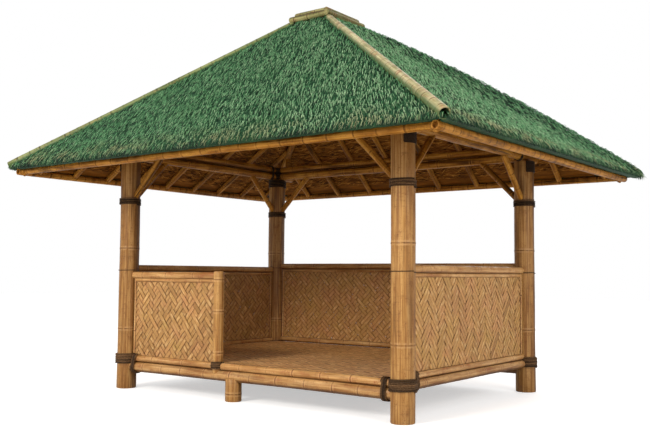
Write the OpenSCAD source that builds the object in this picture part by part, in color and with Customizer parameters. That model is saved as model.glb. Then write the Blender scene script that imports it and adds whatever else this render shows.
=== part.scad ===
// Thatched bamboo gazebo: four corner posts, a raised floor, woven walls with
// an open entry, doubled plates with knee braces, and a hipped thatched roof.
// Units are millimetres, +Z is up, the front faces -Y, and the origin is on the
// ground under the middle of the roof.

/* [Posts] */
// Distance between the post centres along the front
post_span_x = 3000; // [2700:10:3400]
// Distance between the post centres along the side
post_span_y = 2140; // [1960:10:2500]
// Diameter of a corner post
post_d = 180; // [150:2:200]
// Height of a post, from the ground to the plates
post_h = 2120; // [2040:10:2200]
// Height of the lowest ring on a post
node_z = 555; // [480:5:620]
// Distance from one ring on a post to the next
node_step = 735; // [640:5:760]
// How far a ring stands out of the post
node_rise = 4; // [2:1:8]

/* [Floor frame] */
// Height of the underside of the front and back floor poles
front_pole_z = 154; // [130:2:190]
// Diameter of the front and back floor poles
front_pole_d = 92; // [80:2:100]
// Diameter of the poles that edge the floor, front and back
edge_pole_d = 60; // [52:2:68]
// Height of the underside of the side floor poles
side_pole_z = 218; // [206:2:230]
// Diameter of the side floor poles
side_pole_d = 76; // [64:2:84]
// Diameter of the short legs under the front and back floor poles
leg_d = 140; // [110:2:160]
// Place of the short legs along the front, from the middle
leg_x = -150; // [-500:10:500]
// Number of floor joists
joist_count = 7; // [5:1:9]
// Diameter of a floor joist
joist_d = 48; // [40:1:50]
// Distance from a post centre to the outermost joist, along the front
joist_end = 200; // [190:5:260]
// Thickness of the floor mat
mat_t = 8; // [5:1:14]
// Slit between the floor mat and the poles around it
mat_slit = 6; // [3:1:12]

/* [Walls] */
// Height of the top of the rail on the short front wall
rail_front_z = 1070; // [960:5:1150]
// Height of the top of the side rails
rail_side_z = 1133; // [1000:5:1200]
// Height of the top of the back rail
rail_back_z = 1172; // [1040:5:1240]
// Diameter of the top rails
rail_d = 62; // [50:2:76]
// Diameter of the bottom rails of the side and back walls
foot_rail_d = 54; // [44:2:66]
// Diameter of the thin poles that frame a woven panel
trim_d = 28; // [20:1:34]
// Thickness of a woven panel
panel_t = 12; // [8:1:16]
// Place of the newel beside the entry, from the middle
newel_x = -335; // [-700:5:-300]
// Diameter of the newel
newel_d = 90; // [80:2:100]
// How far the newel rises above the front rail
newel_rise = 8; // [2:1:30]

/* [Plates and braces] */
// Diameter of the lower plates
plate_low_d = 76; // [66:2:84]
// Diameter of the upper plates
plate_up_d = 70; // [60:2:78]
// How far a side plate runs on past the roof chock
plate_tail = 40; // [20:5:80]
// Diameter of a knee brace
brace_d = 54; // [44:2:62]
// How far below the top of its post a brace leaves it
brace_drop = 330; // [270:5:350]
// Angle of a brace above the horizontal
brace_pitch = 45; // [38:1:52]

/* [Roof] */
// How far the eave poles stand out from the post centres
eave_out = 690; // [600:10:760]
// Distance from the middle of the upper plates up to the middle of a hip rafter above them
roof_rise = 182.3; // [160:0.1:200]
// Diameter of an eave pole
eave_d = 60; // [50:2:68]
// How far a side eave pole runs on past the front one
eave_tail = 55; // [40:5:80]
// How far the thatch reaches past the eave poles
thatch_lip = 95; // [75:5:110]
// Thickness of the thatch, square to the slope
thatch_t = 70; // [55:1:80]
// Radius of the rounded nose in which the thatch ends, outside the eave poles
nose_r = 24; // [18:1:26]
// Slope of the two sides
side_pitch = 33.2; // [31:0.2:35]
// Diameter of a hip rafter
hip_d = 70; // [60:2:78]
// Diameter of the other rafters
rafter_d = 54; // [44:2:58]
// Number of rafters on the front and on the back slope
rafters_front = 10; // [8:2:12]
// Number of rafters on each side slope
rafters_side = 9; // [7:2:11]
// Distance from the outermost rafter to the end of its eave pole
rafter_end = 165; // [140:5:200]
// Diameter of the upright chocks between plates and hip rafters
chock_d = 56; // [44:2:64]

/* [Ridge and hip caps] */
// Half length of the ridge cap along the front, to the pole middles
cap_x = 205; // [190:5:240]
// Half length of the ridge cap along the side, to the pole middles
cap_y = 262; // [230:2:300]
// Diameter of the lower ridge poles
ring_low_d = 56; // [46:2:64]
// Diameter of the upper ridge poles
ring_up_d = 50; // [40:2:56]
// How far the upper ridge poles stand in from the lower ones
ring_in = 35; // [28:1:38]
// Diameter of the frame poles under the ridge
crown_d = 64; // [54:2:72]
// How far the crown frame stands in from the ridge cap
crown_in = 90; // [80:2:100]
// Outside diameter of the split poles on the front hips
hip_cap_d = 86; // [76:2:96]
// Wall of the split poles on the front hips
hip_cap_wall = 8; // [6:1:12]
// How far the axis of a hip cap lies under the hip line
hip_cap_sink = 10; // [4:1:16]
// How far a hip cap stops short of the corner of the thatch
hip_cap_short = 68; // [66:2:100]

/* [Lashings] */
// Thickness of the rattan that binds the joints
lash_d = 16; // [12:1:18]
// Turns of the lashing round the foot of a post
base_turns = 5; // [3:1:5]
// Height of the middle of the foot lashings
base_z = 270; // [264:1:280]
// Turns of the lashing that goes up and over a pair of floor poles
wrap_turns = 2; // [1:1:2]
// Turns of the lashing under the braces
band_turns = 3; // [2:1:3]
// How far below the braces the middle of the lashing under them lies
band_drop = 66; // [60:2:90]
// Height of the lashing at the head of a post
head_h = 72; // [50:2:90]
// Thickness of the lashing at the head of a post
head_t = 9; // [6:1:14]
// Where the head lashing starts on the side of a post, as a share of the post's radius; the back left one goes round
head_start = 0.62; // [0.3:0.02:0.8]

/* [Fit] */
// Clearance between pieces that seat on each other
seat = 0.3; // [0.2:0.1:0.6]

/* [Hidden] */
$fn = 48;

bamboo = "#c8964f";
bamboo_pale = "#c9bd83";
woven = "#bd9156";
thatch_green = "#3f7d4f";
rattan = "#40302a";

FRONT = 0;
RIGHT = 1;
BACK = 2;
LEFT = 3;
far = 6000;

post_x = post_span_x / 2;
post_y = post_span_y / 2;
post_r = post_d / 2;
node_r = 12;

front_pole_axis = front_pole_z + front_pole_d / 2;
front_pole_top = front_pole_z + front_pole_d;
edge_axis = front_pole_top + seat + edge_pole_d / 2;
edge_top = edge_axis + edge_pole_d / 2;
side_pole_axis = side_pole_z + side_pole_d / 2;
side_pole_top = side_pole_z + side_pole_d;
mat_z = edge_axis + joist_d / 2 + seat;
mat_half_y = post_y - edge_pole_d / 2 + 5 - mat_slit / 2;
mat_half_x = post_x - foot_rail_d / 2 - mat_slit;

base_rings = 18;
wrap_rings = 16;
newel_rings = 12;
newel_turns = 3;
lash_pitch = lash_d + 1;
function lash_radius(r, rings) = (r + seat + lash_d / 2) / cos(180 / rings);
base_h = base_turns * lash_pitch + lash_d;
lash_out = lash_radius(post_r, wrap_rings) + lash_d / 2 + seat;
newel_lash_z = front_pole_top + seat + lash_d / 2 + 1;
newel_lash_top = newel_lash_z + newel_turns * lash_pitch + lash_d / 2 + 1;
newel_lash_out = lash_radius(newel_d / 2, newel_rings) + lash_d / 2 + seat;
wrap_start = lash_out + 3;
wrap_reach = wrap_start + wrap_turns * lash_pitch + lash_d + 2;

plate_low_axis = post_h + seat + plate_low_d / 2;
plate_up_axis = plate_low_axis + plate_low_d / 2 + seat + plate_up_d / 2;
brace_z = post_h - brace_drop;
band_z = brace_z - band_drop;

eave_x = post_x + eave_out;
eave_y = post_y + eave_out;
edge_x = eave_x + thatch_lip;
edge_y = eave_y + thatch_lip;
// Height of the thatch above the middle of the eave pole that carries it
eave_stack = thatch_t + eave_d / 2 + seat;
front_pitch = atan((edge_x - cap_x) * tan(side_pitch) / (edge_y - cap_y));
hip_drop = (thatch_t + hip_d / 2 + seat) / cos(max(front_pitch, side_pitch));
eave_z = plate_up_axis + roof_rise + hip_drop - eave_stack / cos(side_pitch)
    - eave_out * tan(side_pitch);
function side_top(x) = eave_z + eave_stack / cos(side_pitch) + (eave_x - x) * tan(side_pitch);
edge_z = side_top(edge_x);
cap_z = side_top(cap_x);
function front_top(y) = edge_z + (edge_y - y) * tan(front_pitch);
eave_front_z = front_top(eave_y) - eave_stack / cos(front_pitch);
hip_run = (edge_y - cap_y) / (edge_x - cap_x);
function hip_y(x) = edge_y - (edge_x - x) * hip_run;
function hip_z(x) = side_top(x) - hip_drop;
function hip_point(x) = [x, hip_y(x), hip_z(x)];
crown_x = cap_x - crown_in;
chock_y = hip_y(post_x);
plate_end = chock_y + chock_d / 2 + plate_tail;

ring_side_z = side_top(cap_x) + (ring_low_d / 2 + seat) / cos(side_pitch);
ring_front_z = front_top(cap_y) + (ring_low_d / 2 + seat) / cos(front_pitch);
ring_touch = (ring_low_d + ring_up_d) / 2 + seat;
ring_rise = sqrt(ring_touch * ring_touch - ring_in * ring_in);

// Which way a wall faces, how far out it stands and half the span between its posts
function wall_out(w) = w % 2 == 0 ? post_y : post_x;
function wall_half(w) = w % 2 == 0 ? post_x : post_y;
function rail_axis(w) = (w == FRONT ? rail_front_z : w == BACK ? rail_back_z : rail_side_z)
    - rail_d / 2;
function foot_axis(w) = w == FRONT ? edge_axis
    : (w == BACK ? edge_top : side_pole_top) + seat + foot_rail_d / 2;
function foot_d(w) = w == FRONT ? edge_pole_d : foot_rail_d;
function foot_top(w) = foot_axis(w) + foot_d(w) / 2;
// Ends of a wall whose floor poles are bound together, -1 for the start and 1 for the end
function wrap_ends(w) = w == FRONT ? [-1, 1] : w == RIGHT ? [-1] : [];
function pole_axis(w) = w % 2 == 0 ? front_pole_axis : side_pole_axis;
function pole_r(w) = (w % 2 == 0 ? front_pole_d : side_pole_d) / 2;
function wrap_lean(w) = asin((pole_r(w) - foot_d(w) / 2) / (foot_axis(w) - pole_axis(w)));
function wrap_low_r(w) = (pole_r(w) + seat + lash_d / 2) / cos((90 + wrap_lean(w)) / 8);
function wrap_up_r(w) = (foot_d(w) / 2 + seat + lash_d / 2) / cos((90 - wrap_lean(w)) / 6);
function wrap_top(w) = foot_axis(w) + wrap_up_r(w) + lash_d / 2;
trim_off = post_r + node_rise + seat + trim_d / 2;

module at_wall(w) {
    rotate([0, 0, 90 * w])
        translate([0, -wall_out(w), 0])
            children();
}

module pole_x(x0, x1, z, d) {
    translate([x0, 0, z])
        rotate([0, 90, 0])
            cylinder(h = x1 - x0, d = d);
}

module pole_from(a, b, d) {
    v = b - a;
    translate(a)
        rotate([0, acos(v.z / norm(v)), atan2(v.y, v.x)])
            cylinder(h = norm(v), d = d);
}

// The room that a post and the lashing at its foot take up at both ends of a wall
module post_room(w) {
    for (s = [-1, 1])
        translate([s * wall_half(w), 0, 0]) {
            cylinder(h = post_h + 1, r = post_r + seat);
            translate([0, 0, base_z - base_h / 2 - 1])
                cylinder(h = base_h + 2, r = lash_out);
        }
}

// The room that the lashings round the floor poles take up
module wrap_room(w) {
    at_wall(w)
        for (s = wrap_ends(w))
            translate([s * wall_half(w), 0, wrap_top(w) / 2])
                cube([2 * wrap_reach, 2 * wrap_low_r(w) + lash_d + 4, wrap_top(w) + 2 * seat],
                    center = true);
}

module newel_room() {
    translate([newel_x, 0, front_pole_axis]) {
        cylinder(h = far, r = newel_d / 2 + seat);
        cylinder(h = newel_lash_top - front_pole_axis, r = newel_lash_out);
    }
}

module corner_post(sx, sy) {
    color(bamboo)
        translate([sx * post_x, sy * post_y, 0]) {
            cylinder(h = post_h, r = post_r);
            for (z = [node_z : node_step : post_h - post_r])
                translate([0, 0, z])
                    rotate_extrude()
                        translate([post_r + node_rise - node_r, 0])
                            circle(r = node_r);
        }
}

module short_legs() {
    color(bamboo)
        for (s = [-1, 1])
            difference() {
                translate([leg_x, s * post_y, 0])
                    cylinder(h = front_pole_axis, d = leg_d);
                translate([0, s * post_y, 0])
                    pole_x(-far, far, front_pole_axis, front_pole_d + 2 * seat);
            }
}

module floor_pole(w) {
    color(bamboo)
        at_wall(w)
            difference() {
                pole_x(-wall_half(w), wall_half(w), pole_axis(w), 2 * pole_r(w));
                post_room(w);
            }
}

module floor_edge(w) {
    x0 = w == FRONT ? newel_x : -post_x;
    color(bamboo)
        at_wall(w)
            difference() {
                pole_x(x0, post_x, edge_axis, edge_pole_d);
                post_room(w);
                if (w == FRONT) newel_room();
            }
}

module floor_joists() {
    color(bamboo)
        difference() {
            for (i = [0 : joist_count - 1])
                translate([(2 * i / (joist_count - 1) - 1) * (post_x - joist_end), 0, edge_axis])
                    rotate([90, 0, 0])
                        cylinder(h = post_span_y, d = joist_d, center = true);
            for (s = [-1, 1])
                translate([0, s * post_y, 0])
                    pole_x(-far, far, edge_axis, edge_pole_d + 2 * seat);
        }
}

module floor_mat() {
    color(woven)
        difference() {
            translate([-mat_half_x, -mat_half_y, mat_z])
                cube([2 * mat_half_x, 2 * mat_half_y, mat_t]);
            for (sx = [-1, 1], sy = [-1, 1])
                translate([sx * post_x, sy * post_y, 0])
                    cylinder(h = post_h, r = lash_out + seat);
            at_wall(FRONT)
                newel_room();
            for (w = [FRONT, RIGHT])
                wrap_room(w);
        }
}

module newel() {
    top = rail_front_z + newel_rise;
    round_r = 12;
    color(bamboo)
        difference() {
            translate([newel_x, -post_y, 0]) {
                translate([0, 0, front_pole_axis])
                    cylinder(h = top - round_r - front_pole_axis, d = newel_d);
                translate([0, 0, top - round_r])
                    rotate_extrude()
                        intersection() {
                            union() {
                                translate([newel_d / 2 - round_r, 0])
                                    circle(r = round_r);
                                square([newel_d / 2 - round_r, round_r]);
                            }
                            square([newel_d, newel_d]);
                        }
            }
            translate([0, -post_y, 0])
                pole_x(-far, far, front_pole_axis, front_pole_d + 2 * seat);
        }
}

module rail_top(w) {
    x1 = w == FRONT ? newel_x : wall_half(w);
    color(bamboo)
        at_wall(w)
            difference() {
                pole_x(-wall_half(w), x1, rail_axis(w), rail_d);
                post_room(w);
                if (w == FRONT) newel_room();
            }
}

module rail_bottom(w) {
    x1 = w == FRONT ? newel_x : wall_half(w);
    color(bamboo)
        at_wall(w)
            difference() {
                pole_x(-wall_half(w), x1, foot_axis(w), foot_d(w));
                post_room(w);
                if (w == FRONT) newel_room();
            }
}

// Thin poles up both sides of a panel and along under its top rail
module trim(w) {
    half = wall_half(w) - trim_off;
    z1 = rail_axis(w) - rail_d / 2 - seat;
    ends = w == FRONT ? [-1] : [-1, 1];
    x1 = w == FRONT ? newel_x - newel_d / 2 - seat : half - trim_d / 2 - seat;
    color(bamboo)
        at_wall(w) {
            for (s = ends)
                let (z0 = seat + (len(search(s, wrap_ends(w))) > 0 ? wrap_top(w) : foot_top(w)))
                    translate([s * half, 0, z0])
                        cylinder(h = z1 - z0, d = trim_d);
            pole_x(-half + trim_d / 2 + seat, x1, z1 - trim_d / 2, trim_d);
        }
}

module panel(w) {
    half = wall_half(w) - trim_off;
    z0 = foot_top(w) + seat;
    z1 = rail_axis(w) - rail_d / 2 - trim_d - 2 * seat;
    x0 = -half + trim_d / 2 + seat;
    x1 = w == FRONT ? newel_x - newel_d / 2 - seat : -x0;
    color(woven)
        difference() {
            at_wall(w)
                translate([x0, -panel_t / 2, z0])
                    cube([x1 - x0, panel_t, z1 - z0]);
            wrap_room(w);
            if (w == FRONT)
                at_wall(w)
                    newel_room();
        }
}

module brace(w, s) {
    lean = [-s * cos(brace_pitch), 0, sin(brace_pitch)];
    foot = [s * wall_half(w), 0, brace_z - post_r * tan(brace_pitch)];
    reach = (plate_low_axis - foot.z) / sin(brace_pitch);
    at_wall(w)
        difference() {
            pole_from(foot, foot + reach * lean, brace_d);
            post_room(w);
            pole_x(-far, far, plate_low_axis, plate_low_d + 2 * seat);
        }
}

module braces(wa, sa, wb, sb) {
    color(bamboo) {
        brace(wa, sa);
        brace(wb, sb);
    }
}

// The side plates run through past the posts, the front and back ones butt against them
module plates(w) {
    side = w % 2 == 1;
    color(bamboo)
        at_wall(w)
            for (p = [[plate_low_axis, plate_low_d], [plate_up_axis, plate_up_d]])
                if (side)
                    pole_x(-plate_end, plate_end, p[0], p[1]);
                else
                    difference() {
                        pole_x(-post_x, post_x, p[0], p[1]);
                        for (s = [-1, 1])
                            translate([s * post_x, 0, p[0]])
                                rotate([90, 0, 0])
                                    cylinder(h = far, d = p[1] + 2 * seat, center = true);
                    }
}

module hip_axis(sx, sy, d) {
    flip = [sx, sy, 1];
    a = hip_point(eave_x);
    b = hip_point(crown_x + 8);
    pole_from([a.x * flip.x, a.y * flip.y, a.z], [b.x * flip.x, b.y * flip.y, b.z], d);
}

module roof_chocks() {
    color(bamboo)
        for (sx = [-1, 1], sy = [-1, 1])
            difference() {
                translate([sx * post_x, sy * chock_y, plate_up_axis])
                    cylinder(h = hip_z(post_x) - plate_up_axis, d = chock_d);
                translate([sx * post_x, 0, plate_up_axis])
                    rotate([90, 0, 0])
                        cylinder(h = far, d = plate_up_d + 2 * seat, center = true);
                hip_axis(sx, sy, hip_d + 2 * seat);
            }
}

module eave_axes(grow) {
    for (s = [-1, 1]) {
        translate([s * eave_x, 0, eave_z])
            rotate([90, 0, 0])
                cylinder(h = 2 * (eave_y + eave_tail), d = eave_d + grow, center = true);
        translate([0, s * eave_y, eave_front_z])
            rotate([0, 90, 0])
                cylinder(h = 2 * eave_x, d = eave_d + grow, center = true);
    }
}

module crown_axes(grow) {
    y = hip_y(crown_x);
    z = hip_z(crown_x);
    for (s = [-1, 1]) {
        translate([s * crown_x, 0, z])
            rotate([90, 0, 0])
                cylinder(h = 2 * y + crown_d, d = crown_d + grow, center = true);
        translate([0, s * y, z])
            rotate([0, 90, 0])
                cylinder(h = 2 * crown_x, d = crown_d + grow, center = true);
    }
}

module hip_rafters() {
    hook = 8;
    color(bamboo)
        for (sx = [-1, 1], sy = [-1, 1])
            difference() {
                intersection() {
                    hip_axis(sx, sy, hip_d);
                    translate([-eave_x + hook, -eave_y + hook, 0])
                        cube([2 * (eave_x - hook), 2 * (eave_y - hook), far]);
                }
                eave_axes(2 * seat);
                crown_axes(2 * seat);
            }
}

// Plan of one slope, drawn in from the hips by dx
module slope_plan(w, dx) {
    if (w % 2 == 0)
        polygon([[-edge_x + dx, edge_y], [edge_x - dx, edge_y], [crown_x, hip_y(crown_x + dx)],
            [-crown_x, hip_y(crown_x + dx)]]);
    else
        polygon([[edge_x, -edge_y + dx * hip_run], [edge_x, edge_y - dx * hip_run],
            [crown_x + dx, hip_y(crown_x)], [crown_x + dx, -hip_y(crown_x)]]);
}

module slope_side(w) {
    mirror([w == LEFT ? 1 : 0, w == FRONT ? 1 : 0, 0])
        children();
}

module rafters(w) {
    ends = w % 2 == 0;
    pitch = ends ? front_pitch : side_pitch;
    out = ends ? eave_y : eave_x;
    depth = (thatch_t + rafter_d / 2 + seat) / cos(pitch);
    foot_z = (ends ? front_top(out) : side_top(out)) - depth;
    count = ends ? rafters_front : rafters_side;
    half = (ends ? eave_x : eave_y) - rafter_end;
    color(bamboo)
        slope_side(w)
            difference() {
                intersection() {
                    for (i = [0 : count - 1])
                        let (c = (2 * i / (count - 1) - 1) * half)
                            pole_from(ends ? [c, out, foot_z] : [out, c, foot_z],
                                ends ? [c, 0, foot_z + out * tan(pitch)]
                                    : [0, c, foot_z + out * tan(pitch)], rafter_d);
                    linear_extrude(height = far)
                        slope_plan(w, hip_d * 0.4);
                }
                eave_axes(2 * seat);
                crown_axes(2 * seat);
                for (s = [-1, 1])
                    hip_axis(ends ? s : 1, ends ? 1 : s, hip_d + 2 * seat);
            }
}

module crown_frame() {
    y = hip_y(crown_x);
    z = hip_z(crown_x);
    color(bamboo)
        for (s = [-1, 1]) {
            translate([s * crown_x, 0, z])
                rotate([90, 0, 0])
                    cylinder(h = 2 * y + crown_d, d = crown_d, center = true);
            difference() {
                translate([0, s * y, 0])
                    pole_x(-crown_x, crown_x, z, crown_d);
                for (t = [-1, 1])
                    translate([t * crown_x, 0, z])
                        rotate([90, 0, 0])
                            cylinder(h = far, d = crown_d + 2 * seat, center = true);
            }
        }
}

module eave_pole(w) {
    color(bamboo)
        if (w % 2 == 1)
            translate([w == LEFT ? -eave_x : eave_x, 0, eave_z])
                rotate([90, 0, 0])
                    cylinder(h = 2 * (eave_y + eave_tail), d = eave_d, center = true);
        else
            difference() {
                translate([0, w == FRONT ? -eave_y : eave_y, 0])
                    pole_x(14 - eave_x, eave_x - 14, eave_front_z, eave_d);
                for (s = [-1, 1])
                    translate([s * eave_x, 0, eave_z])
                        rotate([90, 0, 0])
                            cylinder(h = far, d = eave_d + 2 * seat, center = true);
            }
}

// Section through one slope of thatch, with a full round at the eave
module thatch_section(pitch, out, top) {
    nose = [out - nose_r, top + nose_r * tan(pitch) - nose_r / cos(pitch)];
    bend_x = out - thatch_lip + eave_d / 2;
    bend = [bend_x, top + (out - bend_x) * tan(pitch) - thatch_t / cos(pitch)];
    away = bend - nose;
    turn = atan2(away.y, away.x) + acos(nose_r / norm(away));
    peak = top + out * tan(pitch);
    translate(nose)
        circle(r = nose_r);
    polygon([bend, nose + nose_r * [cos(turn), sin(turn)], nose,
        nose + nose_r * [sin(pitch), cos(pitch)], [0, peak], [0, peak - thatch_t / cos(pitch)]]);
}

module thatch(w) {
    ends = w % 2 == 0;
    color(thatch_green)
        slope_side(w)
            difference() {
                intersection() {
                    rotate(ends ? [90, 0, 90] : [90, 0, 0])
                        linear_extrude(height = 2 * (ends ? edge_x : edge_y), center = true)
                            thatch_section(ends ? front_pitch : side_pitch,
                                ends ? edge_y : edge_x, edge_z);
                    linear_extrude(height = far)
                        polygon(ends
                            ? [[-edge_x, edge_y], [edge_x, edge_y], [cap_x, cap_y], [-cap_x, cap_y]]
                            : [[edge_x, -edge_y], [edge_x, edge_y], [cap_x, cap_y], [cap_x, -cap_y]]);
                }
                if (ends)
                    for (s = [-1, 1])
                        translate([s * eave_x, eave_y, eave_z])
                            rotate([90, 0, 0])
                                cylinder(h = 4 * eave_tail, d = eave_d + 2 * seat, center = true);
            }
}

// The space under one slope of the roof, grown by the clearance
module under_slope(ends) {
    out = (ends ? edge_y : edge_x) * 1.1;
    grow = seat / cos(ends ? front_pitch : side_pitch);
    rotate(ends ? [90, 0, 90] : [90, 0, 0])
        linear_extrude(height = far, center = true)
            polygon([[0, 0], [out, 0], [out, (ends ? front_top(out) : side_top(out)) + grow],
                [0, (ends ? front_top(0) : side_top(0)) + grow]]);
}

// Split pole that covers a front hip, scribed to the thatch on both sides
module hip_cap(sx) {
    ridge = [cap_x, cap_y, cap_z - hip_cap_sink];
    tip = [edge_x, edge_y, edge_z - hip_cap_sink];
    along = (tip - ridge) / norm(tip - ridge);
    start = ridge + (ring_low_d / 2 - 12) / along.x * along;
    end = tip - hip_cap_short * along;
    color(bamboo_pale)
        mirror([sx < 0 ? 1 : 0, 0, 0])
            mirror([0, 1, 0])
                difference() {
                    pole_from(start, end, hip_cap_d);
                    pole_from(start - 10 * along, end + 10 * along, hip_cap_d - 2 * hip_cap_wall);
                    intersection() {
                        under_slope(true);
                        under_slope(false);
                    }
                }
}

module ring_sides(x, y, z, d) {
    for (s = [-1, 1])
        translate([s * x, 0, z])
            rotate([90, 0, 0])
                cylinder(h = 2 * y, d = d, center = true);
}

module ring_ends(x, y, z, d) {
    for (s = [-1, 1])
        translate([0, s * y, 0])
            pole_x(-x, x, z, d);
}

module ridge_rings() {
    up_x = cap_x - ring_in;
    up_y = cap_y - ring_in;
    color(bamboo_pale) {
        ring_sides(cap_x, cap_y + ring_low_d / 2 + 4, ring_side_z, ring_low_d);
        difference() {
            ring_ends(cap_x - 2, cap_y, ring_front_z, ring_low_d);
            ring_sides(cap_x, far, ring_side_z, ring_low_d + 2 * seat);
        }
        difference() {
            ring_sides(up_x, up_y + ring_up_d / 2, ring_side_z + ring_rise, ring_up_d);
            ring_ends(far, cap_y, ring_front_z, ring_low_d + 2 * seat);
        }
        difference() {
            ring_ends(up_x - 2, up_y, ring_front_z + ring_rise, ring_up_d);
            ring_sides(up_x, far, ring_side_z + ring_rise, ring_up_d + 2 * seat);
        }
    }
}

// Stepped block that closes the roof inside the ridge poles and stands on the crown frame
module ridge_crown() {
    gap = 1;
    low_x = cap_x - ring_low_d / 2 - seat;
    low_y = cap_y - ring_low_d / 2 - seat;
    up_x = cap_x - ring_in - ring_up_d / 2 - gap;
    up_y = cap_y - ring_in - ring_up_d / 2 - gap;
    z0 = hip_z(crown_x) + crown_d / 2 + seat;
    z1 = ring_side_z + ring_rise - ring_up_d / 2 - gap;
    z2 = ring_front_z + ring_rise;
    color(bamboo_pale) {
        translate([-low_x, -low_y, z0])
            cube([2 * low_x, 2 * low_y, z1 - z0]);
        translate([-up_x, -up_y, z0])
            cube([2 * up_x, 2 * up_y, z2 - z0]);
    }
}

// A tube of six sides along a path that goes round the axis ref
module tube(path, ref) {
    n = len(path);
    sides = 6;
    function heading(i) = let (v = path[min(i + 1, n - 1)] - path[max(i - 1, 0)]) v / norm(v);
    pts = [for (i = [0 : n - 1])
        let (t = heading(i), a = cross(t, ref), u = a / norm(a), v = cross(u, t))
            for (j = [0 : sides - 1])
                path[i] + lash_d / 2 * (cos(60 * j) * u + sin(60 * j) * v)];
    wall = [for (i = [0 : n - 2], j = [0 : sides - 1])
        let (a = i * sides + j, b = i * sides + (j + 1) % sides)
            each [[a, b, a + sides], [b, b + sides, a + sides]]];
    first = [for (j = [1 : sides - 2]) [0, j + 1, j]];
    last = [for (j = [1 : sides - 2]) [for (k = [0, j, j + 1]) (n - 1) * sides + k]];
    polyhedron(points = pts, faces = concat(wall, first, last));
}

// Adds a straight end, one thickness long, to both ends of a path
function with_ends(p) = let (n = len(p), a = p[0] - p[1], b = p[n - 1] - p[n - 2])
    concat([p[0] + a / norm(a) * lash_d], p, [p[n - 1] + b / norm(b) * lash_d]);

// Turns that climb by one pitch each
function turns_round(turns, rings, r) = with_ends([for (i = [0 : turns * rings])
    [r * cos(360 * i / rings), r * sin(360 * i / rings),
        lash_pitch * (i / rings - turns / 2)]]);

// Turns that go under the lower pole of a pair and over the upper one
function wrap_point(w, k) = let (e = wrap_lean(w))
    k < 5 ? [pole_axis(w), wrap_low_r(w), -90 + (90 + e) * k / 4]
    : k < 12 ? [foot_axis(w), wrap_up_r(w), e + (180 - 2 * e) * (k - 5) / 6]
    : [pole_axis(w), wrap_low_r(w), 180 - e + (90 + e) * (k - 12) / 4];
function turns_over(w, s) = with_ends([for (i = [0 : wrap_turns * wrap_rings])
    let (c = wrap_point(w, i % wrap_rings))
        [s * (wall_half(w) - wrap_start - lash_d / 2 - lash_pitch * i / wrap_rings),
            c[1] * cos(c[2]), c[0] + c[1] * sin(c[2])]]);

// Least gap between the turns of a path
function least_gap(p, rings) = min([for (i = [0 : len(p) - 1])
    for (j = [i + floor(rings / 2) : 1 : len(p) - 1])
        norm(p[i] - p[j])]) - lash_d;

base_path = turns_round(base_turns, base_rings, lash_radius(post_r, base_rings));
band_path = turns_round(band_turns, wrap_rings, lash_radius(post_r, wrap_rings));
newel_path = turns_round(newel_turns, newel_rings, lash_radius(newel_d / 2, newel_rings));
echo(least_gap_of_base_lashing = least_gap(base_path, base_rings));
echo(least_gap_of_brace_lashing = least_gap(band_path, wrap_rings));
echo(least_gap_of_newel_lashing = least_gap(newel_path, newel_rings));
for (w = [FRONT, RIGHT])
    echo(least_gap_of_pole_lashing = least_gap(turns_over(w, 1), wrap_rings));

// Puts a copy at each post, turned so that the ends of a lashing lie on its outer side
module at_posts(z) {
    for (sx = [-1, 1], sy = [-1, 1])
        translate([sx * post_x, sy * post_y, z])
            rotate([0, 0, atan2(sy, sx)])
                children();
}

module base_lashings() {
    color(rattan) {
        at_posts(base_z)
            tube(base_path, [0, 0, 1]);
        for (w = [FRONT, RIGHT], s = wrap_ends(w))
            at_wall(w)
                tube(turns_over(w, s), [1, 0, 0]);
        translate([newel_x, -post_y, newel_lash_z + newel_turns * lash_pitch / 2])
            rotate([0, 0, -90])
                tube(newel_path, [0, 0, 1]);
    }
}

module brace_lashings() {
    color(rattan)
        at_posts(band_z)
            tube(band_path, [0, 0, 1]);
}

// Section of a strap round the two plates, grown by g
module strap_section(g) {
    translate([0, plate_low_axis])
        circle(r = plate_low_d / 2 + g);
    translate([0, plate_up_axis])
        circle(r = plate_up_d / 2 + g);
    translate([-plate_up_d / 2 - g, plate_low_axis])
        square([plate_up_d + 2 * g, plate_up_axis - plate_low_axis]);
}

module head_lashings() {
    strap_w = 34;
    color(rattan) {
        for (sx = [-1, 1], sy = [-1, 1]) {
            translate([sx * post_x, sy * post_y, post_h - head_h])
                difference() {
                    cylinder(h = head_h, r = post_r + seat + head_t);
                    translate([0, 0, -1])
                        cylinder(h = head_h + 2, r = post_r + seat);
                    if (sx > 0 || sy < 0)
                        translate([sx * (head_start * post_r - far / 2), 0, 0])
                            cube(far, center = true);
                }
            translate([sx * post_x, sy * (post_y - post_r - head_t - strap_w / 2 - 4), 0])
                rotate([90, 0, 0])
                    linear_extrude(height = strap_w, center = true)
                        difference() {
                            strap_section(seat + head_t);
                            strap_section(seat);
                        }
        }
    }
}

corner_post(-1, -1);  // post_front_left
corner_post(1, -1);  // post_front_right
corner_post(-1, 1);  // post_back_left
corner_post(1, 1);  // post_back_right
short_legs();
floor_pole(FRONT);  // floor_pole_front
floor_pole(RIGHT);  // floor_pole_right
floor_pole(BACK);  // floor_pole_back
floor_pole(LEFT);  // floor_pole_left
floor_edge(FRONT);  // floor_edge_front
floor_edge(BACK);  // floor_edge_back
floor_joists();
floor_mat();
newel();
rail_top(FRONT);  // rail_top_front
rail_top(RIGHT);  // rail_top_right
rail_top(BACK);  // rail_top_back
rail_top(LEFT);  // rail_top_left
rail_bottom(FRONT);  // rail_bottom_front
rail_bottom(RIGHT);  // rail_bottom_right
rail_bottom(BACK);  // rail_bottom_back
rail_bottom(LEFT);  // rail_bottom_left
trim(FRONT);  // trim_front
trim(RIGHT);  // trim_right
trim(BACK);  // trim_back
trim(LEFT);  // trim_left
panel(FRONT);  // panel_front
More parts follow.
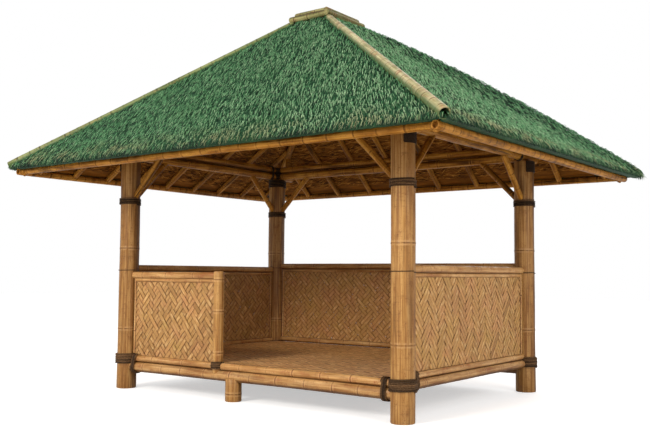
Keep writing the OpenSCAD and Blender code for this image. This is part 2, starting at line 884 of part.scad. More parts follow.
panel(RIGHT);  // panel_right
panel(BACK);  // panel_back
panel(LEFT);  // panel_left
braces(FRONT, -1, LEFT, 1);  // braces_front_left
braces(FRONT, 1, RIGHT, -1);  // braces_front_right
braces(BACK, 1, LEFT, -1);  // braces_back_left
braces(BACK, -1, RIGHT, 1);  // braces_back_right
plates(FRONT);  // plates_front
plates(RIGHT);  // plates_right
plates(BACK);  // plates_back
plates(LEFT);  // plates_left
roof_chocks();
hip_rafters();
rafters(FRONT);  // rafters_front
rafters(RIGHT);  // rafters_right
rafters(BACK);  // rafters_back
rafters(LEFT);  // rafters_left
crown_frame();
eave_pole(FRONT);  // eave_pole_front
eave_pole(RIGHT);  // eave_pole_right
eave_pole(BACK);  // eave_pole_back
eave_pole(LEFT);  // eave_pole_left
thatch(FRONT);  // thatch_front
thatch(RIGHT);  // thatch_right
thatch(BACK);  // thatch_back
thatch(LEFT);  // thatch_left
hip_cap(-1);  // hip_cap_left
hip_cap(1);  // hip_cap_right
ridge_rings();
ridge_crown();
base_lashings();
brace_lashings();
head_lashings();
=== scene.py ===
import bpy
import bmesh
import math
import random
import numpy as np
from mathutils import Matrix, Vector, noise


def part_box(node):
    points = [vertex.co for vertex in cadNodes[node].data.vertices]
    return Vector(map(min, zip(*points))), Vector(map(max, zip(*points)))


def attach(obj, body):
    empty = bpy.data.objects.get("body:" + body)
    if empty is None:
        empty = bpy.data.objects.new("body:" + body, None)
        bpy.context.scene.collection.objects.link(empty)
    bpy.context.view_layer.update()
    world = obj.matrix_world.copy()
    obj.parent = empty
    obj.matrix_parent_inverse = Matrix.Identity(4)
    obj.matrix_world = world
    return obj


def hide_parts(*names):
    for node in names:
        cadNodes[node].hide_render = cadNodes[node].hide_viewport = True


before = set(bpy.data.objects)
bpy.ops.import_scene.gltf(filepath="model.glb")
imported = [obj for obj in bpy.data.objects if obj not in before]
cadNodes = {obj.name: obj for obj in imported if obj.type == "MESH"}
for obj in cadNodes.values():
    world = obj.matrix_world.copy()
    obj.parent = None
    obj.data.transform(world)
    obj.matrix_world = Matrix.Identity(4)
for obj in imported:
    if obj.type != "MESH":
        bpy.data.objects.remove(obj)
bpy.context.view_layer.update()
random.seed(31)


cameraSet = {
    "place": (4.752, -6.343, 1.063), "yaw": 36.91, "pitch": 3.847, "roll": 0.39, "lens": 47.09, "sensor": 36,
}
lightSet = {
    "key": {"place": (-1.0, -11.0, 6.5), "aim": (0, 0, 1.4), "size": 3.4, "power": 940,
            "tint": (1.0, 0.96, 0.9)},
    "fill": {"place": (9.5, -3.0, 5.0), "aim": (0, 0, 1.6), "size": 4.0, "power": 380,
             "tint": (1.0, 0.97, 0.93)},
    "back": {"place": (-2.0, 9.0, 6.0), "aim": (0, 0, 1.8), "size": 6.0, "power": 250, "tint": (1, 1, 1)},
    "soft": 0.7, "backdrop": 1.0,
}


def addCamera():
    cam = bpy.data.objects.new("viewCamera", bpy.data.cameras.new("viewCamera"))
    bpy.context.collection.objects.link(cam)
    cam.data.lens = cameraSet["lens"]
    cam.data.sensor_width = cameraSet["sensor"]
    cam.data.sensor_fit = "HORIZONTAL"
    turn = Matrix.Rotation(math.radians(cameraSet["yaw"]), 4, "Z")
    turn = turn @ Matrix.Rotation(math.radians(90 + cameraSet["pitch"]), 4, "X")
    turn = turn @ Matrix.Rotation(math.radians(cameraSet["roll"]), 4, "Z")
    cam.matrix_world = Matrix.Translation(cameraSet["place"]) @ turn
    bpy.context.scene.camera = cam


def addLight(name, values):
    lamp = bpy.data.lights.new(name, "AREA")
    lamp.energy = values["power"]
    lamp.size = values["size"]
    lamp.color = values["tint"]
    obj = bpy.data.objects.new(name, lamp)
    bpy.context.collection.objects.link(obj)
    obj.location = values["place"]
    aim = Vector(values["aim"]) - obj.location
    obj.rotation_euler = aim.to_track_quat("-Z", "Y").to_euler()


def addWorld(soft, backdrop):  # a soft light all round, before a white backdrop
    world = bpy.data.worlds.new("studio")
    world.use_nodes = True
    tree = world.node_tree
    mix = tree.nodes.new("ShaderNodeMixShader")
    path = tree.nodes.new("ShaderNodeLightPath")
    tree.links.new(path.outputs["Is Camera Ray"], mix.inputs[0])
    parts = ((tree.nodes["Background"], soft), (tree.nodes.new("ShaderNodeBackground"), backdrop))
    for socket, (part, strength) in zip((mix.inputs[1], mix.inputs[2]), parts):
        part.inputs["Color"].default_value = (1, 1, 1, 1)
        part.inputs["Strength"].default_value = strength
        tree.links.new(part.outputs[0], socket)
    tree.links.new(mix.outputs[0], tree.nodes["World Output"].inputs["Surface"])
    bpy.context.scene.world = world
    bpy.context.scene.view_settings.view_transform = "Standard"


addCamera()
for lightName in ("key", "fill", "back"):
    addLight(lightName + "Light", lightSet[lightName])
addWorld(lightSet["soft"], lightSet["backdrop"])
print("camera and light are set")


def deselectAll():
    if bpy.context.object and bpy.context.object.mode != "OBJECT":
        bpy.ops.object.mode_set(mode="OBJECT")
    bpy.ops.object.select_all(action="DESELECT")


def makeActive(obj):
    deselectAll()
    obj.select_set(True)
    bpy.context.view_layer.objects.active = obj


def selectFaces(obj, rule):  # leaves the object in edit mode, with the faces that the rule picks
    makeActive(obj)
    bpy.ops.object.mode_set(mode="EDIT")
    bpy.ops.mesh.select_mode(type="FACE")
    bpy.ops.mesh.select_all(action="DESELECT")
    work = bmesh.from_edit_mesh(obj.data)
    for face in work.faces:
        face.select_set(rule(face))
    bmesh.update_edit_mesh(obj.data)


def evenNormals(obj):
    makeActive(obj)
    bpy.ops.object.mode_set(mode="EDIT")
    bpy.ops.mesh.select_all(action="SELECT")
    bpy.ops.mesh.normals_make_consistent(inside=False)
    bpy.ops.object.mode_set(mode="OBJECT")


def joinPieces(objs, name):
    deselectAll()
    for obj in objs:
        obj.select_set(True)
    bpy.context.view_layer.objects.active = objs[0]
    if len(objs) > 1:
        bpy.ops.object.join()
    objs[0].name = name
    objs[0].data.name = name
    return objs[0]


def finishPiece(obj, material, nodes=()):
    obj.data.materials.clear()
    obj.data.materials.append(material)
    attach(obj, "root")
    if nodes:
        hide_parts(*nodes)
    return obj


def coordsOf(mesh):
    co = np.empty(len(mesh.vertices) * 3)
    mesh.vertices.foreach_get("co", co)
    return co.reshape(-1, 3)


def normalsOf(mesh):
    normals = np.empty(len(mesh.vertices) * 3)
    mesh.vertex_normals.foreach_get("vector", normals)
    return normals.reshape(-1, 3)


def setCoords(mesh, co):
    mesh.vertices.foreach_set("co", np.asarray(co, float).reshape(-1))
    mesh.update()


def setPointValue(mesh, name, values):
    attr = mesh.attributes.get(name) or mesh.attributes.new(name, "FLOAT", "POINT")
    attr.data.foreach_set("value", np.ascontiguousarray(values, float))


def setPointVector(mesh, name, values):
    attr = mesh.attributes.get(name) or mesh.attributes.new(name, "FLOAT_VECTOR", "POINT")
    attr.data.foreach_set("vector", np.asarray(values, float).reshape(-1))


def newMaterial(name):
    mat = bpy.data.materials.new(name)
    mat.use_nodes = True
    tree = mat.node_tree
    return mat, tree, tree.nodes["Principled BSDF"]


def addNode(tree, kind, **values):
    node = tree.nodes.new(kind)
    for key, value in values.items():
        setattr(node, key, value)
    return node


def feed(tree, value, socket):  # a socket takes a number, a colour or another node's output
    if isinstance(value, (int, float)):
        socket.default_value = value
    elif isinstance(value, tuple):
        socket.default_value = (*value, 1)
    else:
        tree.links.new(value, socket)


def readAttribute(tree, name, output="Fac"):
    return addNode(tree, "ShaderNodeAttribute", attribute_name=name).outputs[output]


def objectPlace(tree):
    return addNode(tree, "ShaderNodeTexCoord").outputs["Object"]


def stretch(tree, vector, scale, shift=(0, 0, 0)):
    node = addNode(tree, "ShaderNodeMapping")
    node.inputs["Scale"].default_value = scale
    node.inputs["Location"].default_value = shift
    tree.links.new(vector, node.inputs["Vector"])
    return node.outputs["Vector"]


def addNoise(tree, vector, scale, detail=3.0, rough=0.55, distortion=0.0):
    node = addNode(tree, "ShaderNodeTexNoise")
    values = {"Scale": scale, "Detail": detail, "Roughness": rough, "Distortion": distortion}
    for key, value in values.items():
        node.inputs[key].default_value = value
    tree.links.new(vector, node.inputs["Vector"])
    return node.outputs["Fac"]


def addRamp(tree, factor, stops):
    node = addNode(tree, "ShaderNodeValToRGB")
    ramp = node.color_ramp
    while len(ramp.elements) < len(stops):
        ramp.elements.new(0.5)
    for element, (place, color) in zip(ramp.elements, stops):
        element.position = place
        element.color = (*color, 1)
    tree.links.new(factor, node.inputs["Fac"])
    return node.outputs["Color"]


def maskRamp(tree, factor, low, high):  # rises from black at the first value to white at the second
    first, last = ((0, 0, 0), (1, 1, 1)) if low < high else ((1, 1, 1), (0, 0, 0))
    return addRamp(tree, factor, ((min(low, high), first), (max(low, high), last)))


def mixColor(tree, factor, first, second, mode="MIX"):
    node = addNode(tree, "ShaderNodeMix", data_type="RGBA", blend_type=mode)
    for value, socket in ((factor, node.inputs[0]), (first, node.inputs[6]), (second, node.inputs[7])):
        feed(tree, value, socket)
    return node.outputs[2]


def doMath(tree, operation, first, second):
    node = addNode(tree, "ShaderNodeMath", operation=operation)
    feed(tree, first, node.inputs[0])
    feed(tree, second, node.inputs[1])
    return node.outputs[0]


def times(tree, first, second):
    return doMath(tree, "MULTIPLY", first, second)


def bumpNormal(tree, height, strength, distance):
    node = addNode(tree, "ShaderNodeBump")
    node.inputs["Strength"].default_value = strength
    node.inputs["Distance"].default_value = distance
    tree.links.new(height, node.inputs["Height"])
    return node.outputs["Normal"]


def srgb(red, green, blue):  # screen colour 0 to 255, as linear light
    return tuple(((c / 255 + 0.055) / 1.055) ** 2.4 if c > 10 else c / 3294 for c in (red, green, blue))


def hueRamp(tree, factor, stops):  # a ramp of screen colours
    return addRamp(tree, factor, [(place, srgb(*hue)) for place, hue in stops])


def tint(tree, color, mask, amount, hue):  # lays a screen colour over another where the mask lets it
    return mixColor(tree, times(tree, mask, amount), color, srgb(*hue))


def shadeByTone(tree, color, stops):  # makes each pole, strip or straw darker or lighter by its tone, which also carries the painted shade on a pole's sides
    return mixColor(tree, 1.0, color, addRamp(tree, readAttribute(tree, "tone"), stops), "MULTIPLY")


def setSurface(tree, shader, color, rough, gloss, normal):
    tree.links.new(color, shader.inputs["Base Color"])
    feed(tree, rough, shader.inputs["Roughness"])
    shader.inputs["Specular IOR Level"].default_value = gloss
    tree.links.new(normal, shader.inputs["Normal"])


bambooSet = {
    "post": {"deep": (132, 86, 36), "mid": (162, 115, 57), "light": (192, 147, 87),
             "ring": (84, 50, 22), "pale": (214, 170, 116), "speck": (120, 70, 30), "stain": (80, 50, 22),
             "speckAmount": 0.75, "stainAmount": 0.45, "gloss": 0.3, "bands": 0.2, "worn": 0.7,
             "moss": 0.0, "fibre": 0.5, "lines": 0.75},
    "pole": {"deep": (142, 94, 46), "mid": (180, 134, 78), "light": (212, 170, 114),
             "ring": (98, 58, 30), "pale": (206, 158, 104), "speck": (146, 80, 46), "stain": (90, 56, 28),
             "speckAmount": 1.0, "stainAmount": 0.45, "gloss": 0.3, "bands": 0.35, "worn": 0.9,
             "moss": 0.0, "fibre": 0.45, "lines": 0.4},
    "roof": {"deep": (108, 64, 14), "mid": (156, 100, 30), "light": (198, 142, 58),
             "ring": (64, 36, 8), "pale": (186, 128, 56), "speck": (92, 52, 16), "stain": (52, 30, 8),
             "speckAmount": 0.75, "stainAmount": 0.8, "gloss": 0.1, "bands": 0.45, "worn": 0.85,
             "moss": 0.0, "fibre": 0.7, "lines": 0.5},
    "cap": {"deep": (116, 112, 62), "mid": (160, 150, 104), "light": (204, 196, 152),
            "ring": (84, 52, 32), "pale": (204, 192, 152), "speck": (176, 104, 78), "stain": (84, 94, 48),
            "speckAmount": 1.2, "stainAmount": 0.6, "gloss": 0.2, "bands": 0.7, "worn": 0.9,
            "moss": 0.85, "fibre": 0.5, "lines": 0.3},
    "leftCap": {"deep": (70, 84, 42), "mid": (110, 120, 74), "light": (142, 148, 98),
                "ring": (48, 44, 22), "pale": (140, 142, 96), "speck": (140, 108, 70), "stain": (50, 66, 28),
                "speckAmount": 0.9, "stainAmount": 0.7, "gloss": 0.15, "bands": 0.6, "worn": 0.9,
                "moss": 0.85, "fibre": 0.7, "lines": 0.3},
    "ridge": {"deep": (80, 84, 42), "mid": (128, 126, 78), "light": (172, 164, 114),
              "ring": (48, 36, 18), "pale": (156, 144, 96), "speck": (142, 96, 66), "stain": (50, 56, 24),
              "speckAmount": 1.4, "stainAmount": 0.75, "gloss": 0.15, "bands": 1.0, "worn": 0.95,
              "moss": 0.0, "fibre": 0.7, "lines": 0.3},
}
bambooNoise = {  # stretch with z along the pole, shift, scale, detail, roughness, distortion
    "fine": ((1, 1, 0.025), (0, 0, 0), 240, 4, 0.6),
    "lines": ((1, 1, 0.02), (1, 4, 2), 80, 2, 0.5),
    "broad": ((1, 1, 0.22), (0, 0, 0), 11, 4, 0.6),
    "speck": ((1, 1, 0.6), (0, 0, 0), 150, 2, 0.5),
    "blotch": ((1, 1, 0.5), (0, 0, 0), 24, 3, 0.6),
    "stain": ((1, 1, 0.07), (3, 7, 1), 16, 3, 0.65, 0.6),
    "scar": ((0.12, 0.12, 1), (0, 0, 0), 75, 2, 0.5),
}
# tone multipliers; the darkest stop deepens the painted shade laid on a pole's sides
bambooTone = ((0.0, (0.34, 0.28, 0.22)), (0.15, (0.76, 0.72, 0.66)), (0.5, (1, 1, 1)),
              (1.0, (1.16, 1.14, 1.1)))
bambooRough = ((0.3, (0.34, 0.34, 0.34)), (0.7, (0.55, 0.55, 0.55)))
ringHalo = ((0.0, (0, 0, 0)), (0.35, (1, 1, 1)), (0.6, (0, 0, 0)))
mossGreen = (54, 84, 40)


def makeBamboo(name, colors):
    mat, tree, shader = newMaterial(name)
    grain = readAttribute(tree, "grain", "Vector")
    seen = {key: addNoise(tree, stretch(tree, grain, size, shift), *rest)
            for key, (size, shift, *rest) in bambooNoise.items()}
    blotch, deep, light = seen["blotch"], colors["deep"], colors["light"]
    color = hueRamp(tree, seen["broad"], ((0.32, deep), (0.5, colors["mid"]), (0.68, light)))
    color = tint(tree, color, maskRamp(tree, seen["fine"], 0.48, 0.66), colors["fibre"], deep)
    color = tint(tree, color, maskRamp(tree, seen["fine"], 0.48, 0.3), 0.5, light)
    color = tint(tree, color, maskRamp(tree, seen["lines"], 0.5, 0.64), colors["lines"], deep)
    color = tint(tree, color, maskRamp(tree, seen["lines"], 0.5, 0.36), colors["lines"], light)
    spots = times(tree, maskRamp(tree, seen["speck"], 0.58, 0.66), maskRamp(tree, blotch, 0.4, 0.6))
    color = tint(tree, color, spots, colors["speckAmount"], colors["speck"])
    blush = maskRamp(tree, blotch, 0.54, 0.72)
    color = tint(tree, color, blush, colors["speckAmount"] * 0.55, colors["speck"])
    streaks = maskRamp(tree, seen["stain"], 0.54, 0.66)
    color = tint(tree, color, streaks, colors["stainAmount"], colors["stain"])
    scars = times(tree, maskRamp(tree, seen["scar"], 0.57, 0.64), maskRamp(tree, blotch, 0.35, 0.6))
    color = tint(tree, color, scars, colors["bands"], colors["ring"])
    ring = readAttribute(tree, "ring")
    bloom = times(tree, addRamp(tree, ring, ringHalo), maskRamp(tree, blotch, 0.35, 0.55))
    color = tint(tree, color, bloom, 0.5, colors["pale"])
    worn = times(tree, maskRamp(tree, ring, 0.45, 1.0), maskRamp(tree, blotch, 0.3, 0.6))
    color = tint(tree, color, worn, colors["worn"], colors["ring"])
    if colors["moss"]:
        moss = times(tree, readAttribute(tree, "moss"), maskRamp(tree, seen["broad"], 0.2, 0.5))
        color = tint(tree, color, moss, colors["moss"], mossGreen)
    color = shadeByTone(tree, color, bambooTone)
    height = doMath(tree, "ADD", times(tree, seen["fine"], 0.6), times(tree, blotch, 0.8))
    setSurface(tree, shader, color, addRamp(tree, blotch, bambooRough), colors["gloss"],
               bumpNormal(tree, height, 0.4, 0.002))
    return mat


weaveColors = {
    "wall": {"deep": (88, 54, 22), "mid": (174, 130, 76), "light": (200, 160, 106), "odd": (172, 140, 66),
             "blush": (182, 124, 84)},
    "floor": {"deep": (56, 34, 12), "mid": (190, 140, 84), "light": (232, 188, 130), "odd": (170, 130, 68),
              "blush": (184, 130, 80)},
}
weaveTone = ((0.0, (0.7, 0.66, 0.6)), (0.5, (1, 1, 1)), (1.0, (1.16, 1.13, 1.08)))


def makeWeave(name, colors):
    mat, tree, shader = newMaterial(name)
    along = readAttribute(tree, "strand", "Vector")
    fibre = addNoise(tree, stretch(tree, along, (1, 0.03, 1)), 900, 3, 0.6)
    patch = addNoise(tree, objectPlace(tree), 5.5, 4, 0.65)
    cell = addNoise(tree, stretch(tree, along, (1, 0.35, 1)), 42, 2, 0.5)
    color = hueRamp(tree, cell, ((0.32, colors["mid"]), (0.52, colors["mid"]), (0.7, colors["light"])))
    color = tint(tree, color, maskRamp(tree, patch, 0.5, 0.66), 0.45, colors["blush"])
    color = tint(tree, color, maskRamp(tree, patch, 0.46, 0.3), 0.4, colors["odd"])
    color = tint(tree, color, maskRamp(tree, fibre, 0.52, 0.75), 0.5, colors["deep"])
    # painted shade along each strip's edges, in the gaps between strips, and where a strip dives under the
    # next
    border = doMath(tree, "ABSOLUTE", readAttribute(tree, "border"), 0.5)
    color = tint(tree, color, maskRamp(tree, border, 0.72, 1.0), 0.55, colors["deep"])
    dive = maskRamp(tree, readAttribute(tree, "dive"), 0.1, 0.52)
    color = tint(tree, color, times(tree, dive, maskRamp(tree, cell, 0.3, 0.55)), 0.85, colors["deep"])
    color = shadeByTone(tree, color, weaveTone)
    setSurface(tree, shader, color, 0.62, 0.3, bumpNormal(tree, fibre, 0.4, 0.001))
    return mat


thatchColors = {
    "dark": (4, 28, 15), "mid": (30, 82, 48), "light": (80, 132, 86), "bright": (158, 188, 146),
    "pale": (160, 162, 122), "dry": (146, 118, 84), "leaf": (56, 108, 60),
    "underDeep": (54, 28, 4), "underMid": (144, 88, 24), "underLight": (214, 148, 64),
}


def makeThatch(name):
    mat, tree, shader = newMaterial(name)
    place = objectPlace(tree)
    flow = readAttribute(tree, "flow", "Vector")  # across the slope, down it, out of it
    tip, tone, eave = (readAttribute(tree, key) for key in ("tip", "tone", "eave"))
    strand = addNoise(tree, stretch(tree, flow, (1, 0.14, 1)), 60, 3, 0.6)
    patch = addNoise(tree, place, 2.6, 4, 0.6)
    dryPatch = addNoise(tree, place, 5.0, 3, 0.6, 0.4)
    level = doMath(tree, "ADD", times(tree, strand, 0.35), times(tree, tip, 0.45))
    level = doMath(tree, "ADD", level, times(tree, tone, 0.45))
    level = doMath(tree, "SUBTRACT", level, 0.18)
    color = hueRamp(tree, level, ((0.05, thatchColors["dark"]), (0.36, thatchColors["mid"]),
                                  (0.62, thatchColors["light"]), (0.9, thatchColors["bright"])))
    color = tint(tree, color, maskRamp(tree, patch, 0.45, 0.7), 0.3, thatchColors["leaf"])
    dry = times(tree, maskRamp(tree, dryPatch, 0.42, 0.6), maskRamp(tree, eave, 0.5, 0.95))
    dry = times(tree, dry, maskRamp(tree, tone, 0.45, 0.6))
    color = tint(tree, color, dry, 0.5, thatchColors["dry"])
    lit = times(tree, maskRamp(tree, eave, 0.6, 1.0), maskRamp(tree, tip, 0.5, 0.95))
    lit = times(tree, lit, maskRamp(tree, tone, 0.5, 0.8))
    color = tint(tree, color, lit, 0.4, thatchColors["pale"])
    setSurface(tree, shader, color, 0.62, 0.3, bumpNormal(tree, strand, 0.6, 0.006))
    return mat


def makeUnderThatch(name):
    mat, tree, shader = newMaterial(name)
    place = objectPlace(tree)
    course = addNoise(tree, stretch(tree, place, (0.06, 0.06, 1)), 46, 3, 0.6)
    rough = addNoise(tree, place, 60, 3, 0.6)
    level = doMath(tree, "ADD", times(tree, course, 0.5), times(tree, readAttribute(tree, "tone"), 0.55))
    color = hueRamp(tree, level, ((0.3, thatchColors["underDeep"]), (0.52, thatchColors["underMid"]),
                                  (0.78, thatchColors["underLight"])))
    color = tint(tree, color, rough, 0.35, thatchColors["underDeep"])
    setSurface(tree, shader, color, 0.85, 0.15, bumpNormal(tree, course, 0.8, 0.012))
    return mat


cordColors = {"deep": (34, 24, 15), "mid": (80, 58, 37), "light": (136, 108, 76), "worn": (50, 34, 22)}
cordTone = ((0.0, (0.3, 0.28, 0.26)), (0.5, (0.9, 0.88, 0.86)), (1.0, (2.4, 2.3, 2.2)))


def makeCord(name):
    mat, tree, shader = newMaterial(name)
    place = objectPlace(tree)
    twist = addNoise(tree, stretch(tree, place, (1, 1, 3)), 160, 3, 0.6)
    worn = addNoise(tree, place, 45, 3, 0.6)
    color = hueRamp(tree, twist, ((0.3, cordColors["deep"]), (0.55, cordColors["mid"]),
                                  (0.75, cordColors["light"])))
    color = shadeByTone(tree, tint(tree, color, worn, 0.3, cordColors["worn"]), cordTone)
    setSurface(tree, shader, color, 0.6, 0.12, bumpNormal(tree, twist, 0.7, 0.002))
    return mat


bamboos = {kind: makeBamboo(kind + "Bamboo", colors) for kind, colors in bambooSet.items()}
wallWeave = makeWeave("wallWeave", weaveColors["wall"])
floorWeave = makeWeave("floorWeave", weaveColors["floor"])
thatchGreen = makeThatch("thatchGreen")
thatchUnder = makeUnderThatch("thatchUnder")
rattanCord = makeCord("rattanCord")
print("materials are made")


plan = {  # the same sizes as the part, in metres
    "postX": 1.5, "postY": 1.07, "postR": 0.09, "postH": 2.12,
    "plateLowR": 0.038, "plateUpR": 0.035, "plateLowZ": 2.1583, "plateUpZ": 2.2316,
    "frontPoleZ": 0.2, "frontPoleR": 0.046, "edgeZ": 0.2763, "edgeR": 0.03,
    "sidePoleZ": 0.256, "sidePoleR": 0.038, "sideFootZ": 0.3213, "sideFootR": 0.027,
    "backFootZ": 0.3336, "newelX": -0.335, "newelR": 0.045,
    "braceZ": 1.79, "braceR": 0.027, "bracePitch": 45.0,
    "railZ": {"front": 1.039, "right": 1.102, "back": 1.141, "left": 1.102}, "railR": 0.031, "trimR": 0.014,
    "eaveX": 2.19, "eaveY": 1.76, "eaveZ": 1.981, "eaveR": 0.03, "edgeX": 2.285, "edgeY": 1.855,
    "thatch": 0.07, "sidePitch": math.radians(33.2), "capX": 0.205, "capY": 0.262,
    "hipR": 0.035, "rafterR": 0.027, "crownR": 0.032, "crownIn": 0.09, "chockR": 0.028,
    "ringLowR": 0.028, "ringUpR": 0.025, "ringIn": 0.035, "hipCapR": 0.043, "hipCapSink": 0.01,
}
fourCorners = [(sideX, sideY) for sideX in (-1, 1) for sideY in (-1, 1)]
eaveStack = plan["thatch"] + plan["eaveR"]


def sideTop(x):  # height of the side slopes' upper face
    run = plan["eaveX"] - x
    return plan["eaveZ"] + eaveStack / math.cos(plan["sidePitch"]) + run * math.tan(plan["sidePitch"])


edgeTop = sideTop(plan["edgeX"])
capTop = sideTop(plan["capX"])
frontPitch = math.atan((capTop - edgeTop) / (plan["edgeY"] - plan["capY"]))
hipRun = (plan["edgeY"] - plan["capY"]) / (plan["edgeX"] - plan["capX"])
hipDrop = (plan["thatch"] + plan["hipR"]) / math.cos(max(frontPitch, plan["sidePitch"]))


def frontTop(y):  # height of the front and back slopes' upper face
    return edgeTop + (plan["edgeY"] - y) * math.tan(frontPitch)


def hipY(x):  # the hips' line in plan
    return plan["edgeY"] - (plan["edgeX"] - x) * hipRun


def hipX(y):
    return plan["edgeX"] - (plan["edgeY"] - y) / hipRun


def hipPoint(x):
    return Vector((x, hipY(x), sideTop(x) - hipDrop))


wallTurn = {"front": 0, "right": 1, "back": 2, "left": 3}
longWalls = ("front", "back")


def atWall(wall, x, y, z):  # a place given along a wall's line and inwards from it
    inward = y - (plan["postY"] if wall in longWalls else plan["postX"])
    turned = ((x, inward), (-inward, x), (-x, -inward), (inward, -x))
    return Vector((*turned[wallTurn[wall]], z))


def wallHalf(wall):
    return plan["postX"] if wall in longWalls else plan["postY"]


culmSet = {
    "bodyStep": 0.16, "ridge": 0.028, "sway": 0.004, "toneSpread": 0.3, "oval": 0.008, "endGap": 0.012,
    "wall": 0.22, "hollow": 0.03,  # an open end's wall as a share of the radius, and its depth
    # for a node and for two kinds of end: distance along the pole, width, strength of the ring's colour
    "node": ((-0.022, 0.0, 0.0), (-0.008, 0.3, 0.35), (-0.003, 1.0, 0.6), (0.0, 0.8, 1.0), (0.004, 0.75, 0.9),
             (0.01, 0.3, 0.4), (0.026, 0.0, 0.0)),
    "sawn": ((0.0, 0.955, 0.2), (0.004, 1.0, 0.05)),
    "round": ((0.0, 0.6, 0.3), (0.001, 0.78, 0.3), (0.006, 0.93, 0.1), (0.014, 1.0, 0.0)),
}


def culmStations(length, nodePlaces, rounded):  # where a pole gets a ring of points, and how wide it is there
    stations = []
    for place in nodePlaces:
        for shift, swell, mark in culmSet["node"]:
            if culmSet["endGap"] < place + shift < length - culmSet["endGap"]:
                stations.append((place + shift, 1.0 + culmSet["ridge"] * swell, mark))
    firstPlace = culmSet["sawn"][1][0]
    bounds = [firstPlace] + [s[0] for s in stations] + [length - firstPlace]
    for low, high in zip(bounds[:-1], bounds[1:]):
        gap = high - low
        if gap > culmSet["bodyStep"] * 0.7:
            cuts = max(1, round(gap / culmSet["bodyStep"]))
            for k in range(1, cuts + 1):
                stations.append((low + gap * k / (cuts + 1), 1.0, 0.0))
    lastEnd = culmSet["round" if rounded else "sawn"]
    ends = list(culmSet["sawn"]) + [(length - inset, width, mark) for inset, width, mark in lastEnd]
    return sorted(stations + ends)


def makeCulm(start, end, radius, nodeStep=0.34, nodePlaces=None, hollow=(), rounded=False, sides=28,
             tone=None, swayScale=1.0, taper=1.0):
    start, end = Vector(start), Vector(end)
    length = (end - start).length
    if nodePlaces is None:
        at = random.uniform(0.25, 0.8) * nodeStep
        nodePlaces = []
        while at < length - 0.02:
            nodePlaces.append(at)
            at += nodeStep * random.uniform(0.85, 1.15)
    stations = culmStations(length, nodePlaces, rounded)
    deselectAll()
    bpy.ops.mesh.primitive_cylinder_add(vertices=sides, radius=1, depth=1, location=(0, 0, 0))
    culm = bpy.context.object
    bpy.ops.object.mode_set(mode="EDIT")
    bpy.ops.mesh.select_all(action="DESELECT")
    work = bmesh.from_edit_mesh(culm.data)
    for edge in work.edges:
        edge.select_set(abs(edge.verts[0].co.z - edge.verts[1].co.z) > 0.5)
    bmesh.update_edit_mesh(culm.data)
    bpy.ops.mesh.subdivide(number_cuts=len(stations) - 2)
    bpy.ops.object.mode_set(mode="OBJECT")
    co = coordsOf(culm.data)
    index = np.rint((co[:, 2] + 0.5) * (len(stations) - 1)).astype(int)
    along, width, mark = np.array(stations)[index].T
    angle = np.arctan2(co[:, 1], co[:, 0])
    oval = 1 + culmSet["oval"] * np.cos(2 * angle + random.uniform(0, 6))
    share = along / length
    ring = radius * width * oval * (taper + (1 - taper) * share)
    lean = random.uniform(0, 2 * math.pi)
    sway = culmSet["sway"] * swayScale * min(1.0, length / 1.5)
    bow = sway * (np.sin(math.pi * share) + 0.4 * np.sin(3 * math.pi * share + 1.0) * np.sin(math.pi * share))
    co[:, 0] = ring * np.cos(angle) + bow * math.cos(lean)
    co[:, 1] = ring * np.sin(angle) + bow * math.sin(lean)
    co[:, 2] = along
    setCoords(culm.data, co)
    setPointValue(culm.data, "ring", mark)
    for poly in culm.data.polygons:
        poly.use_smooth = abs(poly.normal.z) < 0.8
    for which in hollow:
        openEnd(culm, which, radius, length)
    co = coordsOf(culm.data)
    offset = random.uniform(0, 50)
    setPointVector(culm.data, "grain", co + np.array((offset, 0, offset)))
    shade = 0.5 + culmSet["toneSpread"] * random.uniform(-1, 1) if tone is None else tone
    setPointValue(culm.data, "tone", np.full(len(co), shade))
    aim = (end - start).normalized()
    culm.data.transform(Matrix.Translation(start) @ aim.to_track_quat("Z", "Y").to_matrix().to_4x4())
    return culm


def openEnd(culm, which, radius, length):  # a sawn end with its wall and hollow
    goal, depth = (length, -culmSet["hollow"]) if which == "end" else (0.0, culmSet["hollow"])
    selectFaces(culm, lambda face: len(face.verts) > 4 and abs(face.calc_center_median().z - goal) < 0.002)
    bpy.ops.mesh.inset(thickness=radius * culmSet["wall"])
    bpy.ops.mesh.extrude_region_move(TRANSFORM_OT_translate={"value": (0, 0, depth)})
    bpy.ops.mesh.select_mode(type="VERT")
    bpy.ops.object.mode_set(mode="OBJECT")


def culmFromBox(node, radius=None, **extra):
    low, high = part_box(node)
    size = high - low
    axis = max(range(3), key=lambda k: size[k])
    middle = (low + high) / 2
    start, end = middle.copy(), middle.copy()
    start[axis], end[axis] = low[axis], high[axis]
    others = [size[k] for k in range(3) if k != axis]
    return makeCulm(start, end, radius or sum(others) / 4, **extra)


def paintSideShade(culm, sides, amount=0.6, lift=0.0):  # painted shade on a pole's sides where it lies against others or faces the ground; lift first raises the pole's own tone
    mesh = culm.data
    normals = normalsOf(mesh)
    tones = np.empty(len(mesh.vertices))
    mesh.attributes["tone"].data.foreach_get("value", tones)
    tones = tones + lift
    for direction, start in sides:
        facing = normals @ np.array(direction)
        tones = tones - amount * np.clip((facing - start) / (1 - start) * 1.6, 0, 1)
    setPointValue(mesh, "tone", np.clip(tones, 0, 1))


def pieceName(node, ending):  # floor_joists becomes floorJoist, and the ending follows
    first, *others = node.removesuffix("s").split("_")
    return first + "".join(word.title() for word in others) + ending


def addPoles(node, culms, slot, kind=None):  # the kind of bamboo is the slot's own unless it is given
    name = pieceName(node, "Culm" if len(culms) == 1 else "Culms")
    finishPiece(joinPieces(culms, name), bamboos[kind or slot.split("_")[0]], [node])


